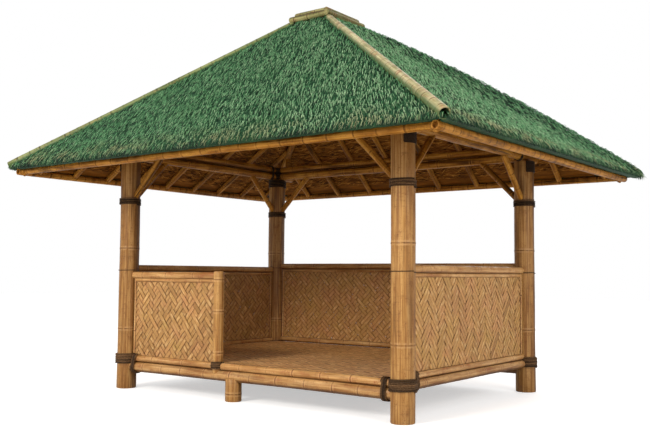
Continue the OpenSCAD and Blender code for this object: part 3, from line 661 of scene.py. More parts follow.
# posts, legs and newel
postSet = {
    # the near front-right post is painted lighter than the other three, which stand deeper in the roof's
    # shade: painted light and shade
    "rings": (0.552, 1.292), "ringSpread": 0.008, "sides": 48, "tone": 0.3, "nearLitTone": 0.46,
    # each post is painted darker on the side that turns away from the key light, painted shade
    "shadedSide": ((0.8, 0.6, 0), 0.45), "dark": 0.25,
    "leg": {"x": -0.15, "top": 0.19, "r": 0.069, "ring": 0.09, "ringShift": 0.03,
            "shape": {"sides": 40, "tone": 0.35}},
    "newelFoot": 0.215,
    "newel": {"nodePlaces": (0.17, 0.52, 0.79), "rounded": True, "sides": 36, "tone": 0.6},
}
for sideX, nameX in ((-1, "left"), (1, "right")):
    for sideY, nameY in ((-1, "front"), (1, "back")):
        x, y = sideX * plan["postX"], sideY * plan["postY"]
        rings = [z + random.uniform(-postSet["ringSpread"], postSet["ringSpread"]) for z in postSet["rings"]]
        shade = postSet["nearLitTone" if (sideX, sideY) == (1, -1) else "tone"]
        post = makeCulm((x, y, 0), (x, y, plan["postH"]), plan["postR"], nodePlaces=rings,
                        sides=postSet["sides"], tone=shade)
        paintSideShade(post, (postSet["shadedSide"],), postSet["dark"])
        addPoles(f"post_{nameY}_{nameX}", [post], "post_bamboo")
legSet = postSet["leg"]
legs = []
for side in (-1, 1):
    x, y = legSet["x"], side * plan["postY"]
    ring = legSet["ring"] + legSet["ringShift"] * side
    legs.append(makeCulm((x, y, 0), (x, y, legSet["top"]), legSet["r"], nodePlaces=[ring], **legSet["shape"]))
addPoles("short_legs", legs, "post_bamboo")
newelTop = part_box("newel")[1].z
x, y = plan["newelX"], -plan["postY"]
newel = makeCulm((x, y, postSet["newelFoot"]), (x, y, newelTop), plan["newelR"], **postSet["newel"])
addPoles("newel", [newel], "post_bamboo")
print("posts are made")

# floor poles, rails and trims
# each wall's poles painted lighter or darker as a whole, lighter on the front and right walls that face the
# key and fill lights: painted light and shade
wallLitTone = {"front": 0.62, "right": 0.5, "back": 0.42, "left": 0.42}
# sides of a pole that get painted shade: against a pole above or below it, or facing the ground
shadedSide = {"above": ((0, 0, 1), 0.8), "below": ((0, 0, -1), 0.3), "ground": ((0, 0, -1), 0.1)}
# dark lists the sides of each kind of pole that get painted shade
wallPoles = {
    "floor_pole": {"tone": -0.15, "dark": ("above", "ground"), "shape": {"sides": 32}},
    "rail_top": {"tone": 0.12, "dark": ("below",), "shape": {"nodeStep": 0.36, "swayScale": 0.2}},
    "rail_bottom": {"tone": 0.03, "dark": ("above", "below"), "shape": {"nodeStep": 0.34, "swayScale": 0.3}},
    "floor_edge": {"tone": 0.2, "dark": ("below",), "shape": {"nodeStep": 0.3}},
}


def addWallPole(kind, wall, **extra):
    values = wallPoles[kind]
    node = f"{kind}_{wall}"
    culm = culmFromBox(node, tone=wallLitTone[wall] + values["tone"], **values["shape"], **extra)
    paintSideShade(culm, [shadedSide[key] for key in values["dark"]])
    addPoles(node, [culm], "pole_bamboo")


for wall in wallTurn:
    addWallPole("floor_pole", wall, nodeStep=0.26 if wall in longWalls else 0.33)
    addWallPole("rail_top", wall)
    addWallPole("rail_bottom", wall)
for wall in longWalls:
    addWallPole("floor_edge", wall)
print("floor poles and rails are made")

trimSet = {
    # dark is the strength of the trims' painted shade, lift raises their own lighter tone
    "gap": 0.004, "thicker": 0.003, "raised": 0.018, "dark": 0.8, "lift": 0.3,
    "level": {"nodeStep": 0.3, "sides": 14, "swayScale": 0}, "upright": {"nodeStep": 0.28, "sides": 14},
}
trimOff = plan["postR"] + trimSet["gap"] + plan["trimR"]
footTop = {"front": plan["edgeZ"] + plan["edgeR"], "right": plan["sideFootZ"] + plan["sideFootR"],
           "back": plan["backFootZ"] + plan["sideFootR"], "left": plan["sideFootZ"] + plan["sideFootR"]}
for wall in wallTurn:
    half = wallHalf(wall) - trimOff
    top = plan["railZ"][wall] - plan["railR"]
    last = plan["newelX"] - plan["newelR"] if wall == "front" else half - plan["trimR"]
    under = top - plan["trimR"]
    culms = [makeCulm(atWall(wall, -half + plan["trimR"], 0, under), atWall(wall, last, 0, under),
                      plan["trimR"] + trimSet["thicker"], **trimSet["level"])]
    # painted shade on the level trim's top, under the rail, and on its underside
    paintSideShade(culms[0], (((0, 0, 1), 0.42), ((0, 0, -1), 0.5)), trimSet["dark"], trimSet["lift"])
    along = atWall(wall, 1, 0, 0) - atWall(wall, 0, 0, 0)
    for side in ((-1,) if wall == "front" else (-1, 1)):
        foot = footTop[wall] + (trimSet["raised"] if side < 0 and wall in ("front", "right") else 0.0)
        culms.append(makeCulm(atWall(wall, side * half, 0, foot), atWall(wall, side * half, 0, top),
                              plan["trimR"], **trimSet["upright"]))
        # painted shade on the upright trim's sides that face along the wall
        paintSideShade(culms[-1], ((along, 0.5), (-along, 0.5)), trimSet["dark"], trimSet["lift"])
    addPoles(f"trim_{wall}", culms, "pole_bamboo")

joistSet = {"count": 7, "r": 0.024, "shape": {"sides": 16, "tone": 0.3}}
joistLow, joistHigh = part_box("floor_joists")
joists = []
for k in range(joistSet["count"]):
    room = joistHigh.x - joistLow.x - 2 * joistSet["r"]
    x = joistLow.x + joistSet["r"] + room * k / (joistSet["count"] - 1)
    joists.append(makeCulm((x, joistLow.y, plan["edgeZ"]), (x, joistHigh.y, plan["edgeZ"]), joistSet["r"],
                           **joistSet["shape"]))
addPoles("floor_joists", joists, "roof_bamboo")

# braces, plates, chocks
braceSet = {"inset": 0.02, "shape": {"nodeStep": 0.2, "sides": 22, "tone": 0.62}}
pitch = math.radians(plan["bracePitch"])
corners = {"front_left": (("front", -1), ("left", 1)), "front_right": (("front", 1), ("right", -1)),
           "back_left": (("back", 1), ("left", -1)), "back_right": (("back", -1), ("right", 1))}
for corner, pair in corners.items():
    culms = []
    for wall, side in pair:
        reach = (plan["plateLowZ"] - plan["plateLowR"] * 0.6 - plan["braceZ"]) / math.sin(pitch)
        x0 = wallHalf(wall) - plan["postR"]
        foot = atWall(wall, side * (x0 + braceSet["inset"]), 0, plan["braceZ"] - braceSet["inset"])
        tip = atWall(wall, side * (x0 - reach * math.cos(pitch)), 0, plan["braceZ"] + reach * math.sin(pitch))
        culms.append(makeCulm(foot, tip, plan["braceR"], **braceSet["shape"]))
    addPoles("braces_" + corner, culms, "roof_bamboo")
for wall in wallTurn:
    low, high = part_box(f"plates_{wall}")
    middleX, middleY = (low.x + high.x) / 2, (low.y + high.y) / 2
    culms = []
    for z, r in ((plan["plateLowZ"], plan["plateLowR"]), (plan["plateUpZ"], plan["plateUpR"])):
        if wall in longWalls:
            start, end, butts = (low.x, middleY, z), (high.x, middleY, z), ()
        else:
            start, end, butts = (middleX, low.y, z), (middleX, high.y, z), ("start", "end")
        culms.append(makeCulm(start, end, r, nodeStep=0.38, hollow=butts, tone=0.5))
    # painted shade where the two plates lie against each other
    paintSideShade(culms[0], (shadedSide["above"],))
    paintSideShade(culms[1], (shadedSide["below"],))
    addPoles(f"plates_{wall}", culms, "roof_bamboo")
chockSet = {"inset": 0.02, "shape": {"nodePlaces": [0.09], "sides": 22, "tone": 0.6}}
culms = []
for sideX, sideY in fourCorners:
    place = hipPoint(plan["postX"])
    x, y = sideX * place.x, sideY * place.y
    culms.append(makeCulm((x, y, plan["plateUpZ"] + chockSet["inset"]), (x, y, place.z - chockSet["inset"]),
                          plan["chockR"], **chockSet["shape"]))
addPoles("roof_chocks", culms, "roof_bamboo")
print("braces and plates are made")

# rafters and eave poles
rafterSet = {
    "longCount": 10, "sideCount": 9, "edgeGap": 0.165, "eaveGap": 0.01, "hipFoot": 0.012, "hipGap": 0.03,
    "crownGap": 0.02, "hip": {"nodeStep": 0.4, "sides": 22}, "common": {"nodeStep": 0.34, "sides": 16},
    "longEave": {"nodeStep": 0.2, "tone": 0.62},
    "sideEave": {"nodeStep": 0.1, "tone": 0.62, "hollow": ("start", "end")},
}
crownX = plan["capX"] - plan["crownIn"]
crown = hipPoint(crownX)
culms = []
for sideX, sideY in fourCorners:
    foot, top = hipPoint(plan["eaveX"] - rafterSet["hipFoot"]), hipPoint(crownX + rafterSet["crownGap"])
    culms.append(makeCulm((sideX * foot.x, sideY * foot.y, foot.z), (sideX * top.x, sideY * top.y, top.z),
                          plan["hipR"], **rafterSet["hip"]))
addPoles("hip_rafters", culms, "roof_bamboo")
for wall in wallTurn:
    long = wall in longWalls
    count = rafterSet["longCount" if long else "sideCount"]
    half = plan["eaveX" if long else "eaveY"] - rafterSet["edgeGap"]
    reach = plan["eaveY" if long else "eaveX"] - rafterSet["eaveGap"]
    slope, faceTop, hipAt = (frontPitch, frontTop, hipY) if long else (plan["sidePitch"], sideTop, hipX)
    depth = (plan["thatch"] + plan["rafterR"]) / math.cos(slope)
    sign = -1 if wall in ("front", "left") else 1
    culms = []
    for k in range(count):
        c = (2 * k / (count - 1) - 1) * half
        crownEdge = hipY(crownX) if long else crownX
        top = max(hipAt(abs(c)) + rafterSet["hipGap"], crownEdge + rafterSet["crownGap"])
        ends = [(c, sign * out, faceTop(out) - depth) for out in (reach, top)]
        if not long:
            ends = [(y, x, z) for x, y, z in ends]
        culms.append(makeCulm(*ends, plan["rafterR"], **rafterSet["common"]))
    addPoles(f"rafters_{wall}", culms, "roof_bamboo")
    eave = culmFromBox(f"eave_pole_{wall}", plan["eaveR"], **rafterSet["longEave" if long else "sideEave"])
    addPoles(f"eave_pole_{wall}", [eave], "roof_bamboo")
crownEnd = crown.y + plan["crownR"]
crownLines = [((s * crownX, -crownEnd, crown.z), (s * crownX, crownEnd, crown.z)) for s in (-1, 1)]
crownLines += [((-crownX, s * crown.y, crown.z), (crownX, s * crown.y, crown.z)) for s in (-1, 1)]
culms = [makeCulm(start, end, plan["crownR"], sides=20) for start, end in crownLines]
addPoles("crown_frame", culms, "roof_bamboo")
print("roof frame is made")

# hip caps and ridge
ringSideZ = capTop + plan["ringLowR"] / math.cos(plan["sidePitch"])
ringFrontZ = frontTop(plan["capY"]) + plan["ringLowR"] / math.cos(frontPitch)
ringRise = math.sqrt((plan["ringLowR"] + plan["ringUpR"]) ** 2 - plan["ringIn"] ** 2)
ridgeTip = Vector((plan["capX"], plan["capY"], capTop - plan["hipCapSink"]))
cornerTip = Vector((plan["edgeX"], plan["edgeY"], edgeTop - plan["hipCapSink"]))
capAlong = (cornerTip - ridgeTip).normalized()
hipCapSet = {
    "wall": 0.008, "mossFade": 0.45,
    "shape": {"nodeStep": 0.115, "sides": 32, "tone": 0.5, "swayScale": 0.5, "taper": 0.78},
    "left": {"side": -1, "start": -0.01, "back": 0.015, "mossTop": 0.35, "kind": "leftCap"},
    "right": {"side": 1, "start": 0.024, "back": 0.02, "mossTop": 0.72, "kind": "cap"},
}


def makeHipCap(which):  # start and back are how far the cap stops short of the ridge and of the corner
    values = hipCapSet[which]
    sideX = values["side"]
    top = ridgeTip + capAlong * values["start"]
    low = cornerTip - capAlong * values["back"]
    culm = makeCulm((sideX * top.x, -top.y, top.z), (sideX * low.x, -low.y, low.z), plan["hipCapR"],
                    **hipCapSet["shape"])
    selectFaces(culm, lambda face: len(face.verts) > 4)
    bpy.ops.mesh.delete(type="ONLY_FACE")
    bpy.ops.object.mode_set(mode="OBJECT")
    wallThickness = culm.modifiers.new("wall", "SOLIDIFY")
    wallThickness.thickness = hipCapSet["wall"]
    wallThickness.offset = -1
    bpy.ops.object.modifier_apply(modifier="wall")
    axis = Vector((sideX * capAlong.x, -capAlong.y, capAlong.z))
    upward = (Vector((0, 0, 1)) - axis * axis.z).normalized()
    away = coordsOf(culm.data) - np.array((sideX * top.x, -top.y, top.z))
    away -= np.outer(away @ np.array(axis), np.array(axis))
    facing = away @ np.array(upward) / np.linalg.norm(away, axis=1)
    setPointValue(culm.data, "moss", np.clip((values["mossTop"] - facing) / hipCapSet["mossFade"], 0, 1))
    addPoles(f"hip_cap_{which}", [culm], "cap_bamboo", values["kind"])


makeHipCap("left")
makeHipCap("right")


ridgeSet = {
    "tipIn": 0.02, "sideShade": 0.3, "frontDark": 0.8,
    "side": {"nodeStep": 0.24, "hollow": ("end",)}, "front": {"nodeStep": 0.16, "rounded": True},
    "low": {"over": 0.032, "tone": 0.6, "dark": ((0, 0, 1), 0.0)},
    "up": {"over": 0.025, "tone": 0.45, "dark": ((0, 0, -1), -0.15)},
    "crown": {"count": 6, "endGap": 0.028, "shape": {"nodeStep": 0.25, "sides": 18, "swayScale": 0.2}},
}


def ridgePoles(layer, x, y, sideZ, frontZ, radius):
    values = ridgeSet[layer]
    made = []
    for s in (-1, 1):
        front = -y - (values["over"] if s > 0 else 0)
        made.append(makeCulm((s * x, front, sideZ), (s * x, y + values["over"], sideZ), radius,
                             tone=values["tone"], **ridgeSet["side"]))
        tip = -x - radius * 2 + ridgeSet["tipIn"]
        made.append(makeCulm((x, s * y, frontZ), (tip, s * y, frontZ), radius, tone=values["tone"],
                             **ridgeSet["front"]))
    # painted shade where the lower and upper ring poles lie against each other
    for k, culm in enumerate(made):
        paintSideShade(culm, (values["dark"],), ridgeSet["frontDark" if k % 2 else "sideShade"])
    return made


upX, upY = plan["capX"] - plan["ringIn"], plan["capY"] - plan["ringIn"]
culms = ridgePoles("low", plan["capX"], plan["capY"], ringSideZ, ringFrontZ, plan["ringLowR"])
culms += ridgePoles("up", upX, upY, ringSideZ + ringRise, ringFrontZ + ringRise, plan["ringUpR"])
addPoles("ridge_rings", culms, "cap_bamboo", "ridge")
culms = []
crownSet = ridgeSet["crown"]
for z, half, y, r in ((ringFrontZ + ringRise - 0.022, upX - 0.026, upY, 0.022),
                      (ringSideZ - 0.01, plan["capX"] - 0.03, plan["capY"], 0.03),
                      (capTop - 0.02, plan["capX"] - 0.03, plan["capY"], 0.03)):
    reach = y - crownSet["endGap"]
    for k in range(crownSet["count"]):
        x = (2 * k / (crownSet["count"] - 1) - 1) * (half - r)
        culms.append(makeCulm((x, -reach, z), (x, reach, z), r, **crownSet["shape"]))
addPoles("ridge_crown", culms, "cap_bamboo", "ridge")
print("caps and ridge are made")

# woven panels and floor mat, two sets of strips crossing over and under one another
weaveSet = {
    "cover": 0.96, "thick": 0.0016, "drift": 0.0016, "shake": 0.0007, "liftShake": 0.0002, "toneSpread": 0.16,
    "front": {"pitch": 0.037, "lift": 0.0034, "float": 3, "columns": "up", "steep": 1.1, "wander": 1.2,
              "tone": 0.42},
    "right": {"pitch": 0.037, "lift": 0.0034, "float": 5, "columns": "up", "steep": 1.12, "wander": 0.8,
              "tone": 0.62},
    "back": {"pitch": 0.035, "lift": 0.0034, "float": 3, "columns": "up", "steep": 1.0, "wander": 1.4,
             "tone": 0.9},
    "left": {"pitch": 0.035, "lift": 0.0034, "float": 3, "columns": "up", "steep": 1.0, "wander": 1.4,
             "tone": 0.4},
    "floor": {"pitch": 0.045, "lift": 0.0028, "float": 5, "columns": "across", "steep": 0.75, "wander": 1.2,
              "tone": 0.85},
}


def overStrip(values, rising, falling, shift):  # whether the rising strip lies on top where the two cross
    along, place = rising - falling, rising + falling
    if values["columns"] == "across":
        along, place = place, along
    wave = np.sin(along * 0.23 + shift) + 0.8 * np.sin(along * 0.61 + shift * 2 + place * 0.05)
    wave = np.rint(values["wander"] * wave)
    return np.mod(place + wave, 2 * values["float"]) < values["float"]


def weaveStrips(width, height, values, family, shift):
    pitch = values["pitch"]
    count = math.ceil((width + height) / math.sqrt(2) / pitch) + 2
    deselectAll()
    bpy.ops.mesh.primitive_grid_add(x_subdivisions=2 * count - 1, y_subdivisions=count, size=1,
                                    location=(0, 0, 0))
    sheet = bpy.context.object
    co = coordsOf(sheet.data)
    column = np.rint((co[:, 0] + 0.5) * (2 * count - 1)).astype(int)
    row = np.rint((co[:, 1] + 0.5) * count).astype(int)
    strip, side = column // 2, (column % 2) * 2 - 1
    half = pitch * weaveSet["cover"] / 2
    rng = np.random.default_rng(random.randrange(10 ** 6))
    drift = rng.normal(0, weaveSet["drift"], count)[strip] * np.sin(row * 0.7 + strip)
    drift = drift + rng.normal(0, weaveSet["shake"], len(co))
    across = (strip - (count - 1) / 2) * pitch + side * half + drift
    along = (row - (count - 1) / 2) * pitch
    if family == 0:
        top = overStrip(values, row, strip, shift)
    else:
        top = ~overStrip(values, strip, (count - 1) - row, shift)
    lift = np.where(top, values["lift"], -values["lift"]) + rng.normal(0, weaveSet["liftShake"], len(co))
    setCoords(sheet.data, np.column_stack((across, along, lift)))
    setPointVector(sheet.data, "strand", np.column_stack((across, along, strip * 0.37 + family * 9.1)))
    setPointValue(sheet.data, "border", side)
    setPointValue(sheet.data, "dive", np.where(top, 0.0, 1.0))
    tones = np.clip(rng.normal(values["tone"], weaveSet["toneSpread"], count), 0, 1.2)
    setPointValue(sheet.data, "tone", tones[strip])
    selectFaces(sheet, lambda face: abs(face.verts[0].co.x - face.calc_center_median().x) < half * 0.8)
    bpy.ops.mesh.delete(type="FACE")
    bpy.ops.object.mode_set(mode="OBJECT")
    turn = Matrix.Rotation(math.radians(-45 if family == 0 else 45), 4, "Z")
    sheet.data.transform(Matrix.Diagonal((1 / values["steep"], values["steep"], 1, 1)) @ turn)
    return sheet


def cutToRectangle(sheet, width, height):
    makeActive(sheet)
    bpy.ops.object.mode_set(mode="EDIT")
    for place, way in (((width / 2, 0, 0), (1, 0, 0)), ((-width / 2, 0, 0), (-1, 0, 0)),
                       ((0, height / 2, 0), (0, 1, 0)), ((0, -height / 2, 0), (0, -1, 0))):
        bpy.ops.mesh.select_all(action="SELECT")
        bpy.ops.mesh.bisect(plane_co=place, plane_no=way, clear_outer=True)
    bpy.ops.object.mode_set(mode="OBJECT")


def makeWoven(name, node, kind, material):
    values = weaveSet[kind]
    low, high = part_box(node)
    size = high - low
    axis = min(range(3), key=lambda k: size[k])  # the thin direction of the panel
    frameAxes, width, height = {
        0: ((Vector((0, 1, 0)), Vector((0, 0, 1)), Vector((1, 0, 0))), size.y, size.z),
        1: ((Vector((1, 0, 0)), Vector((0, 0, 1)), Vector((0, -1, 0))), size.x, size.z),
        2: ((Vector((1, 0, 0)), Vector((0, 1, 0)), Vector((0, 0, 1))), size.x, size.y),
    }[axis]
    sheets = []
    shift = random.uniform(0, 6)
    for family in (0, 1):
        sheet = weaveStrips(width * values["steep"], height / values["steep"], values, family, shift)
        cutToRectangle(sheet, width, height)
        sheets.append(sheet)
    woven = joinPieces(sheets, name)
    solid = woven.modifiers.new("solid", "SOLIDIFY")
    solid.thickness = weaveSet["thick"]
    solid.offset = 0
    makeActive(woven)
    bpy.ops.object.modifier_apply(modifier="solid")
    basis = Matrix([[frameAxes[c][r] for c in range(3)] for r in range(3)]).to_4x4()
    woven.data.transform(Matrix.Translation((low + high) / 2) @ basis)
    evenNormals(woven)
    finishPiece(woven, material, [node])


for wall in wallTurn:
    makeWoven(f"panel{wall.title()}Weave", f"panel_{wall}", wall, wallWeave)
makeWoven("floorMatWeave", "floor_mat", "floor", floorWeave)
print("woven pieces are made")


# thatch, a shaggy bed on each slope with loose blades laid over it
thatchSet = {
    "cell": 0.02, "sink": 0.013, "shake": 0.004, "nose": 0.024, "seed": 40,
    "steps": {"front": (0.0138, 0.0126), "right": (0.0155, 0.0155), "back": (0.016, 0.016),
              "left": (0.016, 0.016)},
    "widen": {"front": (1.6, 0.95), "right": (1.25, 1.85), "back": (1.4, 1.4), "left": (1.4, 1.4)},
    "tones": {"front": (1.1, 0.2), "right": (1.12, -0.1), "back": (1.05, 0.2), "left": (1.05, 0.2)},
    "drift": {"front": (-0.52, 0.06), "right": (-0.14, -0.27), "back": (-0.1, -0.1), "left": (-0.1, -0.1)},
    "straw": {"length": (0.055, 0.092), "width": (0.0042, 0.0072), "rise": (0.001, 0.008), "hang": 0.36,
              "stray": 0.2, "proud": 0.28, "lift": 0.01, "fan": 0.5, "toneSpread": 0.14, "bend": 0.42,
              "rootSink": 0.02},
    "capGap": 0.036, "capShade": 0.4, "capReach": 0.055, "over": 0.03, "backShade": 0.35, "backReach": 0.2,
    "fringe": {"step": 0.0017, "length": (0.03, 0.06), "width": (0.006, 0.0105), "low": 1.998,
               "corner": 1.965, "angle": (-50, 62), "stray": 0.22},
    "under": {"rowStep": 0.026, "sideStep": 0.017, "length": (0.07, 0.17), "width": (0.006, 0.012),
              "stray": 0.32, "eaveGap": 0.16, "crownGap": 0.12, "hipGap": 0.06},
    "bulge": {"height": 0.085, "reach": 0.32, "pull": 0.05, "pullReach": 0.3},
}


def backHipAway(places):  # distance in plan from the nearer back hip
    x, y = np.abs(places[:, 0]), places[:, 1]
    return np.abs(y - (plan["edgeY"] - (plan["edgeX"] - x) * hipRun)) / math.sqrt(1 + hipRun ** 2)


def hipBulge(places):  # thatch laid thicker over the two back hips
    share = (plan["edgeX"] - np.abs(places[:, 0])) / (plan["edgeX"] - plan["capX"])
    near = np.exp(-(backHipAway(places) / thatchSet["bulge"]["reach"]) ** 2)
    return thatchSet["bulge"]["height"] * (np.sin(math.pi * np.clip(share, 0, 1)) ** 0.5 * near)


def cornerPull(places):  # the two back corners drawn out a little
    values = thatchSet["bulge"]
    far = np.hypot(np.abs(places[:, 0]) - plan["edgeX"], places[:, 1] - plan["edgeY"])
    share = values["pull"] * np.exp(-(far / values["pullReach"]) ** 2)
    return np.column_stack((np.sign(places[:, 0]) * share, share, -0.2 * share))


def backShade(places):  # thatch a little darker where it turns over the two back hips
    return thatchSet["backShade"] * np.exp(-(backHipAway(places) / thatchSet["backReach"]) ** 2)


def hipAway(wall, places):  # distance in plan from the capped hip beside a slope
    x, y = np.abs(places[:, 0]), -places[:, 1]
    away = (y - plan["edgeY"] + (plan["edgeX"] - x) * hipRun) / math.sqrt(1 + hipRun ** 2)
    if wall in ("left", "right"):
        away = -away
    return np.where((y > 0) & (wall != "back"), away, 1.0)


def endToEnd(wall, side, kind):  # a value that changes evenly from one end of a slope to the other
    first, last = thatchSet[kind][wall]
    share = np.clip(0.5 + side / 2 / thatchOutline(wall)[0], 0, 1)
    return first + (last - first) * share


def slopePitch(wall):
    return frontPitch if wall in longWalls else plan["sidePitch"]


def slopeFrame(wall):  # origin on the edge line, then across, down the slope and out of it
    out = {"front": Vector((0, -1, 0)), "right": Vector((1, 0, 0)), "back": Vector((0, 1, 0)),
           "left": Vector((-1, 0, 0))}[wall]
    down = out * math.cos(slopePitch(wall)) - Vector((0, 0, 1)) * math.sin(slopePitch(wall))
    across = Vector((0, 0, 1)).cross(out)
    normal = across.cross(down) * -1
    if normal.z < 0:
        normal = -normal
    edge = plan["edgeY" if wall in longWalls else "edgeX"]
    return out * edge + Vector((0, 0, edgeTop)), across, down, normal


def slopeArrays(wall):
    return (np.array(v) for v in slopeFrame(wall))


def thatchOutline(wall):  # half width at the edge and at the crown, and length up the slope
    sides = [(plan["edgeX"], plan["capX"]), (plan["edgeY"], plan["capY"])]
    (edge, cap), (side, sideCap) = sides if wall in longWalls else reversed(sides)
    return edge, cap, (side - sideCap) / math.cos(slopePitch(wall))


def thatchBed(wall):
    source = cadNodes[f"thatch_{wall}"]
    bed = bpy.data.objects.new("bed", source.data.copy())
    bpy.context.collection.objects.link(bed)
    bed.data.transform(source.matrix_world)
    makeActive(bed)
    bpy.ops.object.mode_set(mode="EDIT")
    bpy.ops.mesh.select_all(action="SELECT")
    bpy.ops.mesh.remove_doubles(threshold=0.0001)
    bpy.ops.object.mode_set(mode="OBJECT")
    remesh = bed.modifiers.new("even", "REMESH")
    remesh.mode = "VOXEL"
    remesh.voxel_size = thatchSet["cell"]
    bpy.ops.object.modifier_apply(modifier="even")
    origin, across, down, normal = slopeArrays(wall)
    co = coordsOf(bed.data)
    local = np.column_stack([(co - origin) @ axis for axis in (across, down, normal)])
    normals = normalsOf(bed.data)
    shake = np.array([noise.noise(Vector((p[0] * 30, p[1] * 12, p[2] * 30))) for p in local])
    broad = np.array([noise.noise(Vector((p[0] * 5, p[1] * 4, p[2] * 4 + 7))) for p in local])
    facing = normals @ normal
    sink = np.where(facing > 0.3, thatchSet["sink"], 0.0) * np.clip((local[:, 2] + 0.03) / 0.02, 0, 1)
    co = co + normals * (thatchSet["shake"] * (shake + 0.6 * broad) - sink)[:, None]
    co = co + normal * (hipBulge(co) * (facing > 0.3))[:, None] + cornerPull(co)
    setCoords(bed.data, co)
    setPointVector(bed.data, "flow", local)
    setPointValue(bed.data, "tip", np.zeros(len(co)))
    setPointValue(bed.data, "tone", np.where(facing < -0.5, 0.4, 0.3))
    setPointValue(bed.data, "eave", np.clip(1 + local[:, 1] / 0.35, 0, 1))
    bed.data.shade_smooth()
    return bed


def makeStrawForm():  # one straw, a thin three-sided blade that ends in a point both ways
    deselectAll()
    bpy.ops.mesh.primitive_cone_add(vertices=3, radius1=1, radius2=0, depth=1, location=(0, 0, 0))
    straw = bpy.context.object
    selectFaces(straw, lambda face: face.calc_center_median().z < -0.49)
    bpy.ops.mesh.poke()
    bpy.ops.mesh.select_all(action="SELECT")
    bpy.ops.mesh.normals_make_consistent(inside=False)
    bpy.ops.mesh.select_mode(type="VERT")
    bpy.ops.object.mode_set(mode="OBJECT")
    return straw


strawForm = makeStrawForm()
strawCo = coordsOf(strawForm.data)
strawRound = np.hypot(strawCo[:, 0], strawCo[:, 1])
strawShare = np.where(strawRound > 0.5, 0.5, np.where(strawCo[:, 2] > 0, 1.0, 0.0))  # root, knee and point
strawAround = np.arctan2(strawCo[:, 1], strawCo[:, 0])
strawFaces = np.array([list(p.vertices) for p in strawForm.data.polygons])
bpy.data.objects.remove(strawForm)


def copyStraws(name, wall, roots, knees, points, outward, widths, tones, eaves, swells=True):
    origin, across, down, normal = slopeArrays(wall)
    count, corners = len(roots), len(strawCo)
    swell = normal * (hipBulge(knees) * swells)[:, None] + cornerPull(knees)
    roots, knees, points = roots + swell, knees + swell, points + swell
    axis = points - roots
    axis /= np.linalg.norm(axis, axis=1)[:, None]
    side = np.cross(axis, outward)
    side /= np.linalg.norm(side, axis=1)[:, None]
    top = np.cross(side, axis)
    share = strawShare[None, :, None]
    spine = np.where(share < 0.25, roots[:, None, :],
                     np.where(share < 0.75, knees[:, None, :], points[:, None, :]))
    half = widths[:, None] / 2 * (strawRound > 0.5)[None, :]
    place = spine + side[:, None, :] * (half * np.cos(strawAround))[:, :, None]
    place += top[:, None, :] * (half * 0.5 * np.sin(strawAround))[:, :, None]
    faces = strawFaces[None] + (np.arange(count) * corners)[:, None, None]
    mesh = bpy.data.meshes.new(name)
    world = place.reshape(-1, 3)
    mesh.from_pydata(world.tolist(), [], faces.reshape(-1, 3).tolist())
    mesh.update()
    obj = bpy.data.objects.new(name, mesh)
    bpy.context.collection.objects.link(obj)
    rel = world - origin
    flow = np.column_stack((rel @ across, rel @ down, rel @ normal))
    flow += np.repeat(np.random.default_rng(5).uniform(0, 3, (count, 3)), corners, axis=0)
    setPointVector(mesh, "flow", flow)
    setPointValue(mesh, "tip", np.tile(strawShare, count))
    setPointValue(mesh, "tone", np.repeat(tones, corners))
    setPointValue(mesh, "eave", np.repeat(eaves, corners))
    evenNormals(obj)
    return obj


def scatterOnSlope(wall, rng, rowStep, sideStep, over=0):  # rows of places, as distances up and across
    edge, cap, length = thatchOutline(wall)
    rows = int(length / rowStep)
    up, side = [], []
    for k in range(rows):
        level = (k + 0.5) / rows * length
        half = edge + (cap - edge) * level / length + over
        count = max(2, int(2 * half / sideStep))
        side.append(rng.uniform(-half, half, count))
        up.append(level + rng.uniform(-0.5, 0.5, count) * rowStep)
    return np.concatenate(up), np.concatenate(side)


def slopeStraws(wall, rng):
    values = thatchSet["straw"]
    origin, across, down, normal = slopeArrays(wall)
    up, side = scatterOnSlope(wall, rng, *thatchSet["steps"][wall], thatchSet["over"])
    edge, cap, length = thatchOutline(wall)
    beyond = np.clip(np.abs(side) - edge - (cap - edge) * up / length, 0, None)
    number = len(up)
    proud = rng.uniform(0, 1, number) < values["proud"]
    fan = values["fan"] * side / edge
    stray = across * (fan + rng.normal(0, values["stray"], number))[:, None]
    lengths = rng.uniform(*values["length"], number)[:, None]
    knees = origin + across * side[:, None] - down * (up + 0.012)[:, None]
    knees = knees + normal * (rng.uniform(*values["rise"], number) + values["lift"] * proud - beyond)[:, None]
    hang = down * (1 - values["hang"]) + np.array((0, 0, -values["hang"])) + stray
    hang /= np.linalg.norm(hang, axis=1)[:, None]
    roots = knees - (down + stray * 0.5) * lengths * values["bend"] - normal * values["rootSink"]
    points = knees + hang * lengths * (1 - values["bend"])
    outward = normal + across * rng.normal(0, 0.25, number)[:, None]
    # the raised straws are painted lighter and the rest darker, painted light and shade over a random spread
    # of straw tone
    bright, dull = (rng.normal(tone, values["toneSpread"], number) for tone in thatchSet["tones"][wall])
    near = np.clip(1 - (hipAway(wall, knees) - plan["hipCapR"]) / thatchSet["capReach"], 0, 1)
    # drift paints each slope darker towards one end, painted shade; capShade is painted shade beside the hip
    # caps
    tones = np.where(proud, bright, dull) + endToEnd(wall, side, "drift") - thatchSet["capShade"] * near
    if wall == "right":
        tones = tones - backShade(knees)
    tones = np.clip(tones, -0.4, 1.3)
    widths = rng.uniform(*values["width"], number) * endToEnd(wall, side, "widen")
    eaves = np.clip(1 - up / 0.45, 0, 1)
    keep = (hipAway(wall, points) > thatchSet["capGap"]) | (np.abs(points[:, 0]) < plan["capX"] + 0.12)
    kept = [part[keep] for part in (roots, knees, points, outward, widths, tones, eaves)]
    return copyStraws(f"thatch{wall.title()}Straws", wall, *kept)


